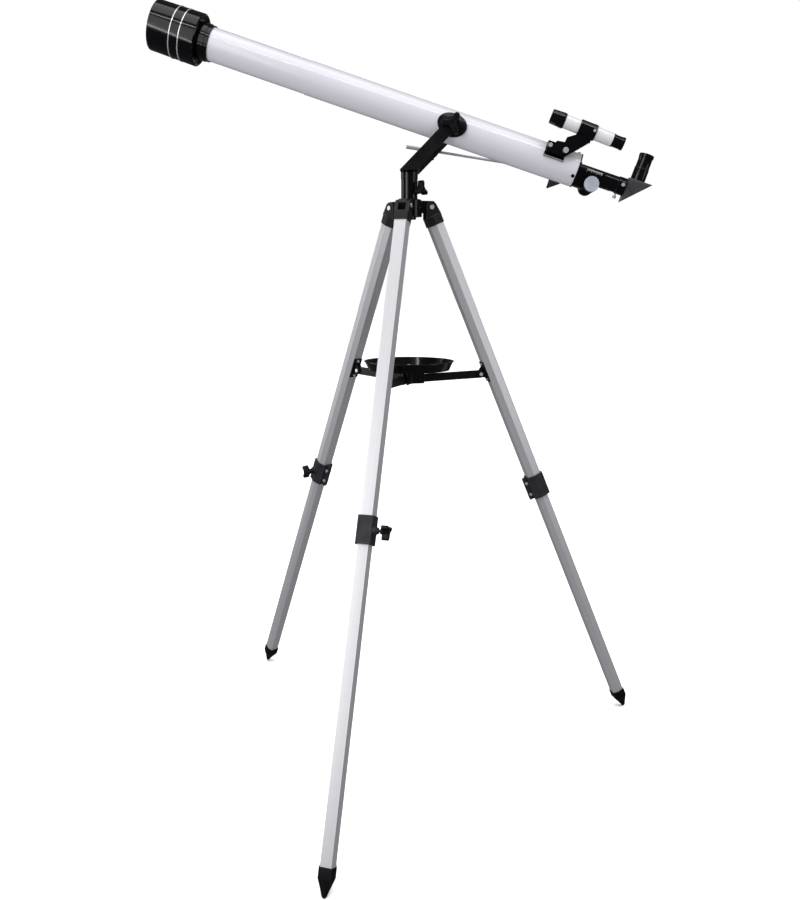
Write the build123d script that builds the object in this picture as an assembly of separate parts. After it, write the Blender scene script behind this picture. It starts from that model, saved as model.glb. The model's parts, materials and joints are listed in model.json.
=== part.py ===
from build123d import *
from math import atan, atan2, cos, degrees, hypot, pi, radians, sin, tan
import os

# A 60 mm refracting telescope on an alt-azimuth fork and a folding, extending aluminium tripod.
# Lengths are in millimetres and angles in degrees. +Z is up and the floor is z = 0. The vertical
# axis of the tripod is x = y = 0. The tube lies in the XZ plane, with its eyepiece end towards +X.

# ---- running and seating clearances -------------------------------------------------------------
RUN = 0.06          # radial clearance of a shaft in its bore
SLIDE = 0.4         # clearance of a telescoping leg in its sleeve, each side
GAP = 0.4           # gap between two moving faces

# ---- tripod legs --------------------------------------------------------------------------------
LEG_AZIMUTHS = {"front": -12.6, "right": 107.4, "left": -132.6}   # from -Y, anticlockwise from above
LEG_TILT = 23.35            # lean from the vertical
LEG_LENGTH = 1285.0         # pivot to the centre of the foot's round tip
PIVOT_RADIUS = 44.0         # hinge pin from the vertical axis
LEG_WIDTH = 24.4            # flat outer face of the upper section
LEG_WAIST = 32.4            # the section's widest part
LEG_INNER_WIDTH = 22.6      # flat inner face
LEG_OUT = 12.5              # outer face from the leg's pivot plane
LEG_IN = 17.5               # inner face from the leg's pivot plane
LEG_SIDE = 17.0             # depth from the outer face to the widest part
LEG_WALL = 1.5              # upper section
LOWER_WALL = 1.3            # lower section
UPPER_END = 676.0           # lower end of the upper section, from the pivot
LEG_LAP = 70.0              # of the lower section inside the upper one
FOOT_LENGTH = 51.0
FOOT_TIP_RADIUS = 5.5
FOOT_WALL = 1.6
SLIDER_LENGTH = 24.0        # plastic guide plugged into the top of the lower section

SOCKET_WALL = 1.6
SOCKET_TOP = 17.0           # from the pivot down to the solid bridge of the socket
SOCKET_BRIDGE = 4.0
SOCKET_END = 36.0
EAR_RADIUS = 11.5
EAR_THICKNESS = 6.5
PIN_RADIUS = 3.0
PIN_HEAD_RADIUS = 4.6
PIN_HEAD = 1.6

CLAMP_LENGTH = 54.0
CLAMP_PAST_UPPER = 8.0      # below the end of the upper section
CLAMP_WALL = 3.0
CLAMP_RIB = 1.0             # raised border around the clamp's outer panel
CLAMP_FLANGE = 9.0          # split flange on the inner face
CLAMP_SCREW_RADIUS = 3.6
CLAMP_SCREW_INSET = 13.0
CLAMP_BOSS_RADIUS = 9.0
CLAMP_BOSS = 8.0
CLAMP_STUD_RADIUS = 2.6
CLAMP_STUD_REACH = 33.0     # mid-plane of the leg to the near face of the knob
CLAMP_KNOB_REACH = 16.5
CLAMP_KNOB_THICKNESS = 14.0

# ---- spreader and tray --------------------------------------------------------------------------
BRACKET_PIVOT_DOWN = 365.8      # along the leg, from the leg pivot
BRACKET_PIVOT_IN = 30.4         # from the middle of the leg section, inwards
BRACKET_PLATE = 2.5
BRACKET_LENGTH = 46.0
BRACKET_EAR = 3.0
BRACKET_EAR_RADIUS = 7.5
BRACKET_PIN_RADIUS = 2.5
BRACKET_SCREW_RADIUS = 1.8
BRACKET_SCREW_HEAD = 3.2
ARM_THICKNESS = 5.0
ARM_HEIGHT = 17.0
ARM_PLAY = 0.5                  # each side of an arm, in its bracket and in the spreader hub
SPREADER_PIVOT_RADIUS = 24.0
SPREADER_DROP = 353.260         # leg pivots down to the arm pivots on the spreader hub
SPREADER_CORE_RADIUS = 10.0
SPREADER_DISC_RADIUS = 33.0
SPREADER_DISC = 4.0
SPREADER_CHEEK = 3.0
SPREADER_BOTTOM_DROP = 11.0     # core and cheeks below the arm pivots
TRAY_RISE = 19.0                # arm pivots up to the underside of the tray
TRAY_HEIGHT = 19.0
TRAY_RADIUS = 95.6
TRAY_FLOOR_RADIUS = 86.0
TRAY_WALL = 2.0
TRAY_BOSS_RADIUS = 14.0
TRAY_BOSS = 2.5
TRAY_SCREW_RADIUS = 3.0
TRAY_SCREW_HEAD_RADIUS = 8.5
TRAY_SCREW_HEAD = 7.0

# ---- tripod head --------------------------------------------------------------------------------
HUB_RADIUS = 26.0
HUB_TOP = 15.0              # above the leg pivots
HUB_BOTTOM = -19.0
LUG_WIDTH = 16.0
LUG_TOP = 13.0
LUG_OUTER = 8.0
LUG_BOTTOM = -11.0
POST_RADIUS = 16.8
POST_HEIGHT = 40.0          # above the hub
SPINDLE_RADIUS = 10.0
SPINDLE_NUT_RADIUS = 14.0
SPINDLE_NUT = 5.0
COLLAR_PROUD = 0.5          # collar over the post, in radius
COLLAR_HEIGHT = 14.0
AZIMUTH_KNOB_ANGLE = 52.0   # from -Y, anticlockwise from above
AZIMUTH_KNOB_DROP = 21.0    # below the top of the post
AZIMUTH_STUD_RADIUS = 3.0
AZIMUTH_STUD_REACH = 26.0
AZIMUTH_KNOB_REACH = 17.0
AZIMUTH_KNOB_THICKNESS = 12.0

# ---- fork and altitude axis ---------------------------------------------------------------------
TRUNNION_X = 86.0
TRUNNION_RISE = 154.740     # above the leg pivots
TUBE_ALTITUDE = 18.6
FORK_PLATE = 3.0
FORK_CLEARANCE = 1.6        # inside face of each arm to the saddle
FORK_WIDTH = 25.0
FORK_END_RADIUS = 14.5
TRUNNION_RADIUS = 4.0
SADDLE_THICKNESS = 3.4
SADDLE_LENGTH = 60.0
SADDLE_HEIGHT = 45.0
SADDLE_BOSS_RADIUS = 9.0
SADDLE_SCREW_SPACING = 44.0
SADDLE_SCREW_RADIUS = 2.6
SADDLE_SCREW_HEAD = 1.2     # stays below the inside face of the fork
SCREW_HEAD_RADIUS = 3.4
ALTITUDE_KNOB_REACH = 22.0
ALTITUDE_KNOB_THICKNESS = 13.0
ALTITUDE_KNOB_TURN = -15.0

ROD_BEYOND_FORK = 9.0       # plane of the slow-motion rod, from the far arm's outside face
ROD_RADIUS = 2.6
ROD_SLEEVE_RADIUS = 3.7
ROD_EYE_RADIUS = 6.0
ROD_EYE = 5.0
ROD_BEHIND_CLAMP = 57.0
ROD_SLEEVE_BEHIND_CLAMP = 24.0
ROD_PIVOT_BEFORE_END = 32.5 # the rod's pivot, from the rear end of the tube
ROD_PIVOT_W = -5.0
ROD_PIVOT_RADIUS = 2.5
ROD_PLATE = 3.0
ROD_STRAP_REACH = 23.0      # strap on the tube, from the rod's pivot towards the eyepiece
ROD_CLAMP_UP_ARM = 0.555    # share of the way from the collar's top to the trunnion
ROD_CLAMP_SIZE = 17.0
ROD_CLAMP_BORE = 5.6
ROD_CLAMP_PIN_RADIUS = 2.5
ROD_CLAMP_SCREW_RADIUS = 2.0

# ---- optical tube, s along the tube from the trunnion towards the eyepiece, w up from its axis ---
TUBE_RADIUS = 33.0          # rear section
TUBE_WALL = 0.8
TUBE_END = 264.5
TUBE_STEP = -305.0          # where the front section leaves the rear one
TUBE_LAP = 30.0
TUBE_START = -509.0
CELL_PROUD = 3.0            # over the tube, in radius
CELL_NECK_PROUD = 1.6
CELL_NECK = 8.0
CELL_LENGTH = 54.0
CELL_LAP = 14.0             # cell over the front of the tube
LENS_RADIUS = 30.5
LENS_STOP_RADIUS = 28.5
CROWN_THICKNESS = 8.0
FLINT_THICKNESS = 5.0
CROWN_BULGE = 2.0
LENS_AIR_GAP = 1.0
RETAINER = 3.5
DEW_OVER_CELL = 12.6        # outside of the dew shield over the cell, in radius
DEW_FLARE = 1.6
DEW_WALL = 2.0
DEW_LENGTH = 96.0
DEW_BACK = 5.0              # recess of the dew shield's back plate
DEW_BACK_PLATE = 3.0
DEW_BEFORE_TUBE = 23.0      # rear of the dew shield from the front end of the tube
DEW_MOUTH = 20.0            # parallel seat for the dust cap inside the front

# ---- focuser ------------------------------------------------------------------------------------
DRAW_RADIUS = 16.0
DRAW_WALL = 1.6
DRAW_INSIDE = 52.5          # of the drawtube inside the main tube
DRAW_REACH = 87.5           # rear end of the main tube to the collar
DRAW_COLLAR = 16.5
DRAW_COLLAR_RADIUS = 17.4
FOCUSER_SLEEVE_RADIUS = 19.5
FOCUSER_SLEEVE = 59.5       # inside the tube
FOCUSER_PLUG = 14.5
FOCUSER_FACE = 5.0
FOCUSER_RIM = 2.2
FOCUSER_RIM_PROUD = 0.7
FOCUSER_SCREW_INSET = 5.0
FOCUSER_SCREW_RADIUS = 1.5
FOCUSER_SCREW_DEPTH = 2.8
FOCUSER_SCREW_ROLL = 119.0  # the first screw, from the top of the tube towards -Y
PINION_BLOCK = 46.5         # behind the end of the tube
PINION_BLOCK_HALF = 10.0
PINION_BLOCK_BOTTOM = -30.0
PINION_BOSS_REACH = 20.0
GEAR_MODULE = 0.8
PINION_TEETH = 12
GEAR_BACKLASH = 0.14        # taken off each tooth's thickness at the pitch line
RACK_WIDTH = 6.0
RACK_PITCH_W = -16.2        # the rack's pitch line below the tube's axis
RACK_INSIDE = 24.5          # of the rack inside the main tube
RACK_REACH = 81.5
PINION_REACH = 34.5         # rear end of the main tube to the shaft
SHAFT_RADIUS = 2.5
KNOB_FACE = 42.0            # outer face of each focusing knob from the tube's middle
KNOB_RADIUS = 15.2
KNOB_LENGTH = 17.0
KNOB_CAP_RADIUS = 14.8
KNOB_CAP = 1.2
THUMB_STUD_RADIUS = 1.7
THUMB_HEAD_RADIUS = 3.6
THUMB_HEAD = 5.0
THUMB_INSET = 9.0           # along the collar
THUMB_LOW_INSET = 4.0

# ---- star diagonal and eyepiece -----------------------------------------------------------------
BARREL_RADIUS = 12.25       # the 24.5 mm eyepiece barrel
DIAGONAL_GAP = 1.0          # behind the drawtube's collar
DIAGONAL_AXIS = 19.0        # front face to the eyepiece's axis
DIAGONAL_TOP = 19.0
DIAGONAL_LEG = 49.0
DIAGONAL_HALF_WIDTH = 17.0
DIAGONAL_BEVEL = 3.5
NOSE_LENGTH = 16.0
NOSE_WALL = 1.85
PRISM_INSET = 1.25          # half the prism is less than the barrel's radius by this
EYEPIECE_OVER_PRISM = 1.0
EYEPIECE_TOP = 72.0
EYEPIECE_RIM_PROUD = 2.75   # over the barrel, in radius
EYEPIECE_GRIP_PROUD = 1.75
HOLDER_WALL = 2.35          # the diagonal's eyepiece holder
HOLDER_TOP = 43.0
EYEPIECE_WALL = 2.75
EYE_LENS_RADIUS = 7.0

# ---- finder -------------------------------------------------------------------------------------
FINDER_Y = -38.0
FINDER_BEFORE_END = 9.5     # middle of the finder's ring, from the rear end of the tube
FINDER_RISE = 38.5          # finder's axis above the top of the tube
FINDER_DROOP = 2.2          # the finder's own lean against the main tube
FINDER_TUBE_RADIUS = 13.2
FINDER_WALL = 1.2
FINDER_FRONT = -76.0
FINDER_REAR = 76.5
FINDER_HOOD_LENGTH = 28.5
FINDER_HOOD_RADIUS = 13.6
FINDER_HOOD_REAR_RADIUS = 15.2
FINDER_EYE_LENGTH = 27.0
FINDER_RING_RADIUS = 15.4
FINDER_RING_HALF = 17.3
FINDER_SADDLE_BACK = 65.0   # front of the foot, from the middle of the ring
FINDER_SADDLE_LENGTH = 41.0
FINDER_SADDLE_FROM = 28.0   # roll angles from the top of the tube towards -Y
FINDER_SADDLE_TO = 88.0
FINDER_SADDLE_THICKNESS = 3.0
FINDER_STALK_HALF = 6.0


# ---- values that follow from those above --------------------------------------------------------
PIVOT_Z = LEG_LENGTH * cos(radians(LEG_TILT)) + FOOT_TIP_RADIUS
LOWER_SHRINK = -(LEG_WALL + SLIDE)
FOOT_START = LEG_LENGTH + FOOT_TIP_RADIUS - FOOT_LENGTH
LOWER_START = UPPER_END - LEG_LAP
CLAMP_END = UPPER_END + CLAMP_PAST_UPPER
CLAMP_START = CLAMP_END - CLAMP_LENGTH
SPREADER_PIVOT_Z = PIVOT_Z - SPREADER_DROP
TRAY_Z = SPREADER_PIVOT_Z + TRAY_RISE
TRUNNION_Z = PIVOT_Z + TRUNNION_RISE
COLLAR_RADIUS = POST_RADIUS + COLLAR_PROUD
FORK_INNER = TUBE_RADIUS + SADDLE_THICKNESS + FORK_CLEARANCE
ROD_Y = FORK_INNER + FORK_PLATE + ROD_BEYOND_FORK
ROD_PIVOT_S = TUBE_END - ROD_PIVOT_BEFORE_END
CELL_RADIUS = TUBE_RADIUS + CELL_PROUD
CELL_NECK_RADIUS = TUBE_RADIUS + CELL_NECK_PROUD
DEW_RADIUS = CELL_RADIUS + DEW_OVER_CELL
DEW_REAR_RADIUS = DEW_RADIUS + DEW_FLARE
DEW_REAR = TUBE_START - DEW_BEFORE_TUBE
DRAW_START = TUBE_END - DRAW_INSIDE
DRAW_COLLAR_START = TUBE_END + DRAW_REACH
DRAW_COLLAR_END = DRAW_COLLAR_START + DRAW_COLLAR
FOCUSER_SLEEVE_START = TUBE_END - FOCUSER_SLEEVE
FOCUSER_PLUG_START = TUBE_END - FOCUSER_PLUG
FOCUSER_SCREW_S = TUBE_END - FOCUSER_SCREW_INSET
PINION_BLOCK_END = TUBE_END + PINION_BLOCK
RACK_START = TUBE_END - RACK_INSIDE
RACK_END = TUBE_END + RACK_REACH
PINION_S = TUBE_END + PINION_REACH
THUMB_S = DRAW_COLLAR_START + THUMB_INSET
THUMB_LOW_S = DRAW_COLLAR_START + THUMB_LOW_INSET
DIAGONAL_START = DRAW_COLLAR_END + DIAGONAL_GAP
DIAGONAL_AXIS_S = DIAGONAL_START + DIAGONAL_AXIS
NOSE_BORE = BARREL_RADIUS - NOSE_WALL
PRISM_HALF_LEG = BARREL_RADIUS - PRISM_INSET
PRISM_HALF_WIDTH = PRISM_HALF_LEG
EYEPIECE_BOTTOM = PRISM_HALF_LEG + EYEPIECE_OVER_PRISM
EYEPIECE_BODY_RADIUS = BARREL_RADIUS + EYEPIECE_RIM_PROUD
EYEPIECE_GRIP_RADIUS = BARREL_RADIUS + EYEPIECE_GRIP_PROUD
HOLDER_RADIUS = BARREL_RADIUS + HOLDER_WALL
EYEPIECE_BORE = BARREL_RADIUS - EYEPIECE_WALL
FINDER_S = TUBE_END - FINDER_BEFORE_END
FINDER_W = TUBE_RADIUS + FINDER_RISE
FINDER_SADDLE_START = FINDER_S - FINDER_SADDLE_BACK


# ---- helpers ------------------------------------------------------------------------------------
def face(points):
    return make_face(Polyline(*points, close=True))


def slab(outline, y0, y1):
    """An outline drawn in (x, z), made solid between two values of y."""
    return Pos(0, y1, 0) * Rot(90, 0, 0) * extrude(outline, y1 - y0)


def rod_x(radius, x0, x1, y=0.0, z=0.0):
    return Pos((x0 + x1) / 2, y, z) * Rot(0, 90, 0) * Cylinder(radius, x1 - x0)


def rod_y(radius, y0, y1, x=0.0, z=0.0):
    return Pos(x, (y0 + y1) / 2, z) * Rot(90, 0, 0) * Cylinder(radius, y1 - y0)


def rod_z(radius, z0, z1, x=0.0, y=0.0):
    return Pos(x, y, (z0 + z1) / 2) * Cylinder(radius, z1 - z0)


def block(x0, x1, y0, y1, z0, z1):
    return Pos((x0 + x1) / 2, (y0 + y1) / 2, (z0 + z1) / 2) * Box(x1 - x0, y1 - y0, z1 - z0)


def turned_x(points):
    """A closed (x, radius) profile turned about the X axis."""
    return revolve(face(points), Axis.X)


def turned_z(points):
    """A closed (radius, z) profile turned about the Z axis."""
    return revolve(Plane.XZ * face(points), Axis.Z)


def tube_x(outer, inner, x0, x1):
    return turned_x([(x0, inner), (x1, inner), (x1, outer), (x0, outer)])


def lobed_knob(reach, thickness, bore=0.0):
    """A three-lobed knob on the Z axis, from z = 0 to its thickness."""
    tip = 0.27 * reach
    arm = reach - tip
    plan = Circle(0.42 * reach)
    for turn in (90, 210, 330):
        plan += Rot(0, 0, turn) * (Pos(arm / 2, 0) * Rectangle(arm, 2 * tip) + Pos(arm, 0) * Circle(tip))
    knob = extrude(plan, thickness)
    knob = chamfer(knob.edges().group_by(Axis.Z)[-1], 0.1 * reach)
    dish = Pos(0, 0, thickness) * Cylinder(0.24 * reach, 0.16 * thickness)
    collar = Pos(0, 0, -0.12 * thickness) * Cylinder(0.34 * reach, 0.3 * thickness)
    knob = knob + collar - dish
    if bore:
        knob -= rod_z(bore, -thickness, 0.7 * thickness)
    return knob


def lens(radius, z0, z1, bulge0=0.0, bulge1=0.0):
    """A lens on the Z axis with its rim from z0 to z1; each bulge is how far that face stands out."""
    edges = [Line((0, z0 - bulge0), (0, z1 + bulge1)), Line((radius, z0), (radius, z1))]
    for rim, pole in ((z0, z0 - bulge0), (z1, z1 + bulge1)):
        if rim == pole:
            edges.append(Line((0, rim), (radius, rim)))
        else:
            middle = rim + 0.75 * (pole - rim)
            edges.append(ThreePointArc((0, pole), (radius / 2, middle), (radius, rim)))
    return revolve(Plane.XZ * make_face(edges), Axis.Z)


# ---- tripod legs --------------------------------------------------------------------------------
def leg_place(azimuth):
    """The leg's frame: origin at the pivot, X outwards, Z up along the leg."""
    return Rot(0, 0, azimuth - 90) * Pos(PIVOT_RADIUS, 0, PIVOT_Z) * Rot(0, -LEG_TILT, 0)


def leg_section(grow=0.0):
    """The leg's six-sided cross-section, widest between its outer and inner faces."""
    half, waist, inner = LEG_WIDTH / 2, LEG_WAIST / 2, LEG_INNER_WIDTH / 2
    shoulder = LEG_OUT - LEG_SIDE
    outline = face([
        (LEG_OUT, -half), (LEG_OUT, half), (shoulder, waist),
        (-LEG_IN, inner), (-LEG_IN, -inner), (shoulder, -waist),
    ])
    return offset(outline, amount=grow, kind=Kind.INTERSECTION) if grow else outline


def leg_bar(grow, start, end):
    """A bar of the leg's section between two distances down from the pivot."""
    return Pos(0, 0, -end) * extrude(leg_section(grow), end - start)


def upper_leg():
    start = SOCKET_TOP + SOCKET_BRIDGE
    tube = leg_bar(0, start, UPPER_END) - leg_bar(-LEG_WALL, start - 1, UPPER_END + 1)
    for z in bracket_screw_heights():
        tube -= rod_x(BRACKET_SCREW_RADIUS, -2 * LEG_IN, 0, z=z)
    middle = -(CLAMP_START + CLAMP_END) / 2
    return tube - rod_y(CLAMP_STUD_RADIUS + GAP, 0, LEG_WIDTH, x=CLAMP_STUD_X, z=middle)


CLAMP_STUD_X = LEG_OUT - LEG_SIDE / 2
SIDE_Y = (LEG_WIDTH + LEG_WAIST) / 4                                # outside of the leg's side at the stud
SIDE_SLANT = atan((LEG_WAIST - LEG_WIDTH) / 2 / LEG_SIDE)


def leg_socket():
    top, end = SOCKET_TOP, SOCKET_END
    sleeve = leg_bar(SOCKET_WALL, top, end) - leg_bar(0, top + SOCKET_BRIDGE, end + 1)
    inner = LUG_WIDTH / 2 + GAP
    front, back = LEG_OUT + SOCKET_WALL, -LEG_IN - SOCKET_WALL
    plate = face([(-EAR_RADIUS, 0), (EAR_RADIUS, 0), (front, -top - 1), (back, -top - 1)])
    plate += Circle(EAR_RADIUS)
    ears = slab(plate, -inner - EAR_THICKNESS, inner + EAR_THICKNESS)
    ears -= slab(face([(-40, 40), (40, 40), (40, -top), (-40, -top)]), -inner, inner)
    return sleeve + ears - rod_y(PIN_RADIUS + RUN, -40, 40)


def leg_clamp():
    start, end = CLAMP_START, CLAMP_END
    body = leg_bar(CLAMP_WALL, start, end)
    outside, half = LEG_OUT + CLAMP_WALL, LEG_WIDTH / 2 + 0.75 * CLAMP_WALL
    rib = face([(outside - 1, -half), (outside + CLAMP_RIB, -half + 1),
                (outside + CLAMP_RIB, half - 1), (outside - 1, half)])
    panel = Pos(0, 0, -end) * extrude(rib, end - start)
    border = 3.0
    recess = block(outside, outside + 2 * CLAMP_RIB, border - half, half - border, -end + border, -start - border)
    flange = block(-LEG_IN - CLAMP_WALL - CLAMP_FLANGE, -LEG_IN, -CLAMP_WALL - 1, CLAMP_WALL + 1, -end, -start)
    middle = -(start + end) / 2
    side = SIDE_Y + CLAMP_WALL
    boss = rod_y(CLAMP_BOSS_RADIUS, LEG_WIDTH / 2, side + CLAMP_BOSS / 2, x=CLAMP_STUD_X, z=middle)
    boss += rod_y(0.7 * CLAMP_BOSS_RADIUS, side, side + CLAMP_BOSS, x=CLAMP_STUD_X, z=middle)
    body = body + panel - recess + flange + boss
    body -= leg_bar(0, start - 1, UPPER_END)
    body -= leg_bar(-LEG_WALL, UPPER_END - 1, end + 1)
    body -= rod_y(CLAMP_STUD_RADIUS + RUN, 0, 60, x=CLAMP_STUD_X, z=middle)
    for z in clamp_screw_heights():
        body -= rod_y(CLAMP_SCREW_RADIUS / 2, -20, 20, x=clamp_screw_x(), z=z)
    return body


def bracket_screw_heights():
    inset = BRACKET_LENGTH / 2 - 5
    return (-BRACKET_PIVOT_DOWN - inset, -BRACKET_PIVOT_DOWN + inset)


def clamp_screw_x():
    return -LEG_IN - CLAMP_WALL - CLAMP_FLANGE / 2


def clamp_screw_heights():
    return (-CLAMP_START - CLAMP_SCREW_INSET, -CLAMP_END + CLAMP_SCREW_INSET)


def clamp_knob():
    """Knob, stud and pressure pad, which bears on the lower section through the upper one."""
    middle = -(CLAMP_START + CLAMP_END) / 2
    pad = SIDE_Y + LOWER_SHRINK / cos(SIDE_SLANT) + CLAMP_STUD_RADIUS * tan(SIDE_SLANT) + GAP / 2
    stud = rod_y(CLAMP_STUD_RADIUS, pad, CLAMP_STUD_REACH + 4)
    knob = Pos(0, CLAMP_STUD_REACH, 0) * Rot(-90, 0, 0) * lobed_knob(CLAMP_KNOB_REACH, CLAMP_KNOB_THICKNESS)
    return Pos(CLAMP_STUD_X, 0, middle) * (stud + knob)


def lower_leg():
    outer, end = LOWER_SHRINK, FOOT_START + 14
    return leg_bar(outer, LOWER_START, end) - leg_bar(outer - LOWER_WALL, LOWER_START - 1, end + 1)


def foot():
    """The tapered plastic foot over the lower section, and the guide plugged into its top."""
    outer = LOWER_SHRINK + FOOT_WALL
    top = Pos(0, 0, -FOOT_START) * leg_section(outer)
    low = Pos(0, 0, -FOOT_START - 18) * leg_section(outer)
    tip = Pos(0, 0, -LEG_LENGTH) * Circle(FOOT_TIP_RADIUS)
    shell = extrude(top, -18) + loft([low, tip])
    shell += Pos(0, 0, -LEG_LENGTH) * Sphere(FOOT_TIP_RADIUS)
    shell -= leg_bar(LOWER_SHRINK, FOOT_START - 1, FOOT_START + 14)
    inner = LOWER_SHRINK - LOWER_WALL
    guide = leg_bar(inner, LOWER_START - 3, LOWER_START + SLIDER_LENGTH)
    guide += leg_bar(LOWER_SHRINK, LOWER_START - 6, LOWER_START)
    guide -= leg_bar(inner - 2, LOWER_START - 7, LOWER_START + SLIDER_LENGTH + 1)
    return Compound([shell.solid(), guide.solid()])


def leg_fasteners():
    """Clamp screws with slotted heads, bracket screws, and the spreader arm's pivot pin."""
    pieces = []
    for z in clamp_screw_heights():
        outside = CLAMP_WALL + 1
        screw = rod_y(CLAMP_SCREW_RADIUS / 2, -outside - 2, outside + 2.4)
        screw += rod_y(CLAMP_SCREW_RADIUS, outside, outside + 2.4)
        screw += Rot(90, 0, 0) * Pos(0, 0, outside) * extrude(RegularPolygon(CLAMP_SCREW_RADIUS, 6), 2.6)
        slot = block(-5, 5, outside + 1.6, outside + 3, -0.5, 0.5)
        pieces.append(Pos(clamp_screw_x(), 0, z) * (screw - slot))
    inner = -LEG_IN - BRACKET_PLATE
    for z in bracket_screw_heights():
        screw = rod_x(BRACKET_SCREW_RADIUS, inner - 1, -LEG_IN + LEG_WALL, z=z)
        pieces.append(screw + rod_x(BRACKET_SCREW_HEAD, inner - 2.2, inner, z=z))
    reach = ARM_THICKNESS / 2 + ARM_PLAY + BRACKET_EAR
    pin = rod_y(BRACKET_PIN_RADIUS, -reach, reach)
    pin += rod_y(3.8, reach, reach + 2) + rod_y(3.8, -reach - 2, -reach)
    pieces.append(Pos(-BRACKET_PIVOT_IN, 0, -BRACKET_PIVOT_DOWN) * pin)
    return Compound([piece.solid() for piece in pieces])


def spreader_bracket():
    inner = -LEG_IN
    half, side = BRACKET_LENGTH / 2, LEG_INNER_WIDTH / 2
    plate = block(inner - BRACKET_PLATE, inner, -side, side, -half, half)
    gap = ARM_THICKNESS / 2 + ARM_PLAY
    ear = face([(inner - 1, 15), (inner - 1, -15), (-BRACKET_PIVOT_IN, -BRACKET_EAR_RADIUS),
                (-BRACKET_PIVOT_IN, BRACKET_EAR_RADIUS)])
    ear += Pos(-BRACKET_PIVOT_IN, 0) * Circle(BRACKET_EAR_RADIUS)
    ears = slab(ear, gap, gap + BRACKET_EAR) + slab(ear, -gap - BRACKET_EAR, -gap)
    bracket = plate + ears - rod_y(BRACKET_PIN_RADIUS, -20, 20, x=-BRACKET_PIVOT_IN)
    bracket = Pos(0, 0, -BRACKET_PIVOT_DOWN) * bracket
    for z in bracket_screw_heights():
        bracket -= rod_x(BRACKET_SCREW_RADIUS, inner - 10, inner + 10, z=z)
    return bracket


def bracket_pivot():
    """Radius from the vertical axis, and height, of a spreader arm's outer pivot."""
    tilt = radians(LEG_TILT)
    radius = PIVOT_RADIUS + BRACKET_PIVOT_DOWN * sin(tilt) - BRACKET_PIVOT_IN * cos(tilt)
    height = PIVOT_Z - BRACKET_PIVOT_DOWN * cos(tilt) - BRACKET_PIVOT_IN * sin(tilt)
    return radius, height


# ---- spreader, in the frame of one leg's azimuth: X outwards, Z up -------------------------------
def spreader_arm():
    radius, height = bracket_pivot()
    outer, inner = Vector(radius, height), Vector(SPREADER_PIVOT_RADIUS, SPREADER_PIVOT_Z)
    along = outer - inner
    normal = Vector(-along.Y, along.X).normalized() * (ARM_HEIGHT / 2)
    corners = [outer + normal, outer - normal, inner - normal, inner + normal]
    plan = face([(c.X, c.Y) for c in corners])
    for end in (outer, inner):
        plan += Pos(end.X, end.Y) * Circle(ARM_HEIGHT / 2)
    arm = slab(plan, -ARM_THICKNESS / 2, ARM_THICKNESS / 2)
    return arm - rod_y(BRACKET_PIN_RADIUS + RUN, -20, 20, x=radius, z=height)


def spreader_hub():
    bottom = SPREADER_PIVOT_Z - SPREADER_BOTTOM_DROP
    hub = rod_z(SPREADER_CORE_RADIUS, bottom, TRAY_Z) + rod_z(SPREADER_DISC_RADIUS, TRAY_Z - SPREADER_DISC, TRAY_Z)
    gap = ARM_THICKNESS / 2 + ARM_PLAY
    outer = SPREADER_PIVOT_RADIUS + ARM_HEIGHT / 2
    for azimuth in LEG_AZIMUTHS.values():
        for side in (-1, 1):
            inner_face, outer_face = sorted((side * gap, side * (gap + SPREADER_CHEEK)))
            cheek = block(SPREADER_CORE_RADIUS - 3, outer, inner_face, outer_face, bottom, TRAY_Z - 1)
            bolt = side * (gap + SPREADER_CHEEK)
            low, high = sorted((bolt, bolt + side * 2.4))
            cheek += rod_y(3.6, low, high, x=SPREADER_PIVOT_RADIUS, z=SPREADER_PIVOT_Z)
            hub += Rot(0, 0, azimuth - 90) * cheek
    for azimuth in LEG_AZIMUTHS.values():
        slot = block(SPREADER_CORE_RADIUS, 60, -gap, gap, bottom - 1, TRAY_Z - SPREADER_DISC)
        hub -= Rot(0, 0, azimuth - 90) * slot
    return hub - rod_z(TRAY_SCREW_RADIUS, bottom - 1, TRAY_Z + 1)


def tray():
    rim, floor = TRAY_RADIUS, TRAY_FLOOR_RADIUS
    top = TRAY_Z + TRAY_HEIGHT
    lip = 1.5
    bowl = turned_z([
        (TRAY_SCREW_RADIUS, TRAY_Z), (floor, TRAY_Z), (rim - lip, top - lip), (rim, top - lip), (rim, top),
        (rim - TRAY_WALL - lip, top), (floor - TRAY_WALL, TRAY_Z + TRAY_WALL),
        (TRAY_BOSS_RADIUS, TRAY_Z + TRAY_WALL), (TRAY_BOSS_RADIUS - 2, TRAY_Z + TRAY_WALL + TRAY_BOSS),
        (TRAY_SCREW_RADIUS, TRAY_Z + TRAY_WALL + TRAY_BOSS),
    ])
    return bowl


def tray_screw():
    seat = TRAY_Z + TRAY_WALL + TRAY_BOSS
    head = TRAY_SCREW_HEAD_RADIUS
    screw = turned_z([
        (0, SPREADER_PIVOT_Z), (TRAY_SCREW_RADIUS, SPREADER_PIVOT_Z), (TRAY_SCREW_RADIUS, seat), (head, seat),
        (head, seat + 0.4 * TRAY_SCREW_HEAD), (0.6 * head, seat + 0.9 * TRAY_SCREW_HEAD),
        (0, seat + TRAY_SCREW_HEAD),
    ])
    return screw


# ---- tripod head --------------------------------------------------------------------------------
HUB_TOP_Z = PIVOT_Z + HUB_TOP
POST_TOP_Z = HUB_TOP_Z + POST_HEIGHT
COLLAR_TOP_Z = POST_TOP_Z + GAP + COLLAR_HEIGHT
AZIMUTH_KNOB_Z = POST_TOP_Z - AZIMUTH_KNOB_DROP


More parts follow.
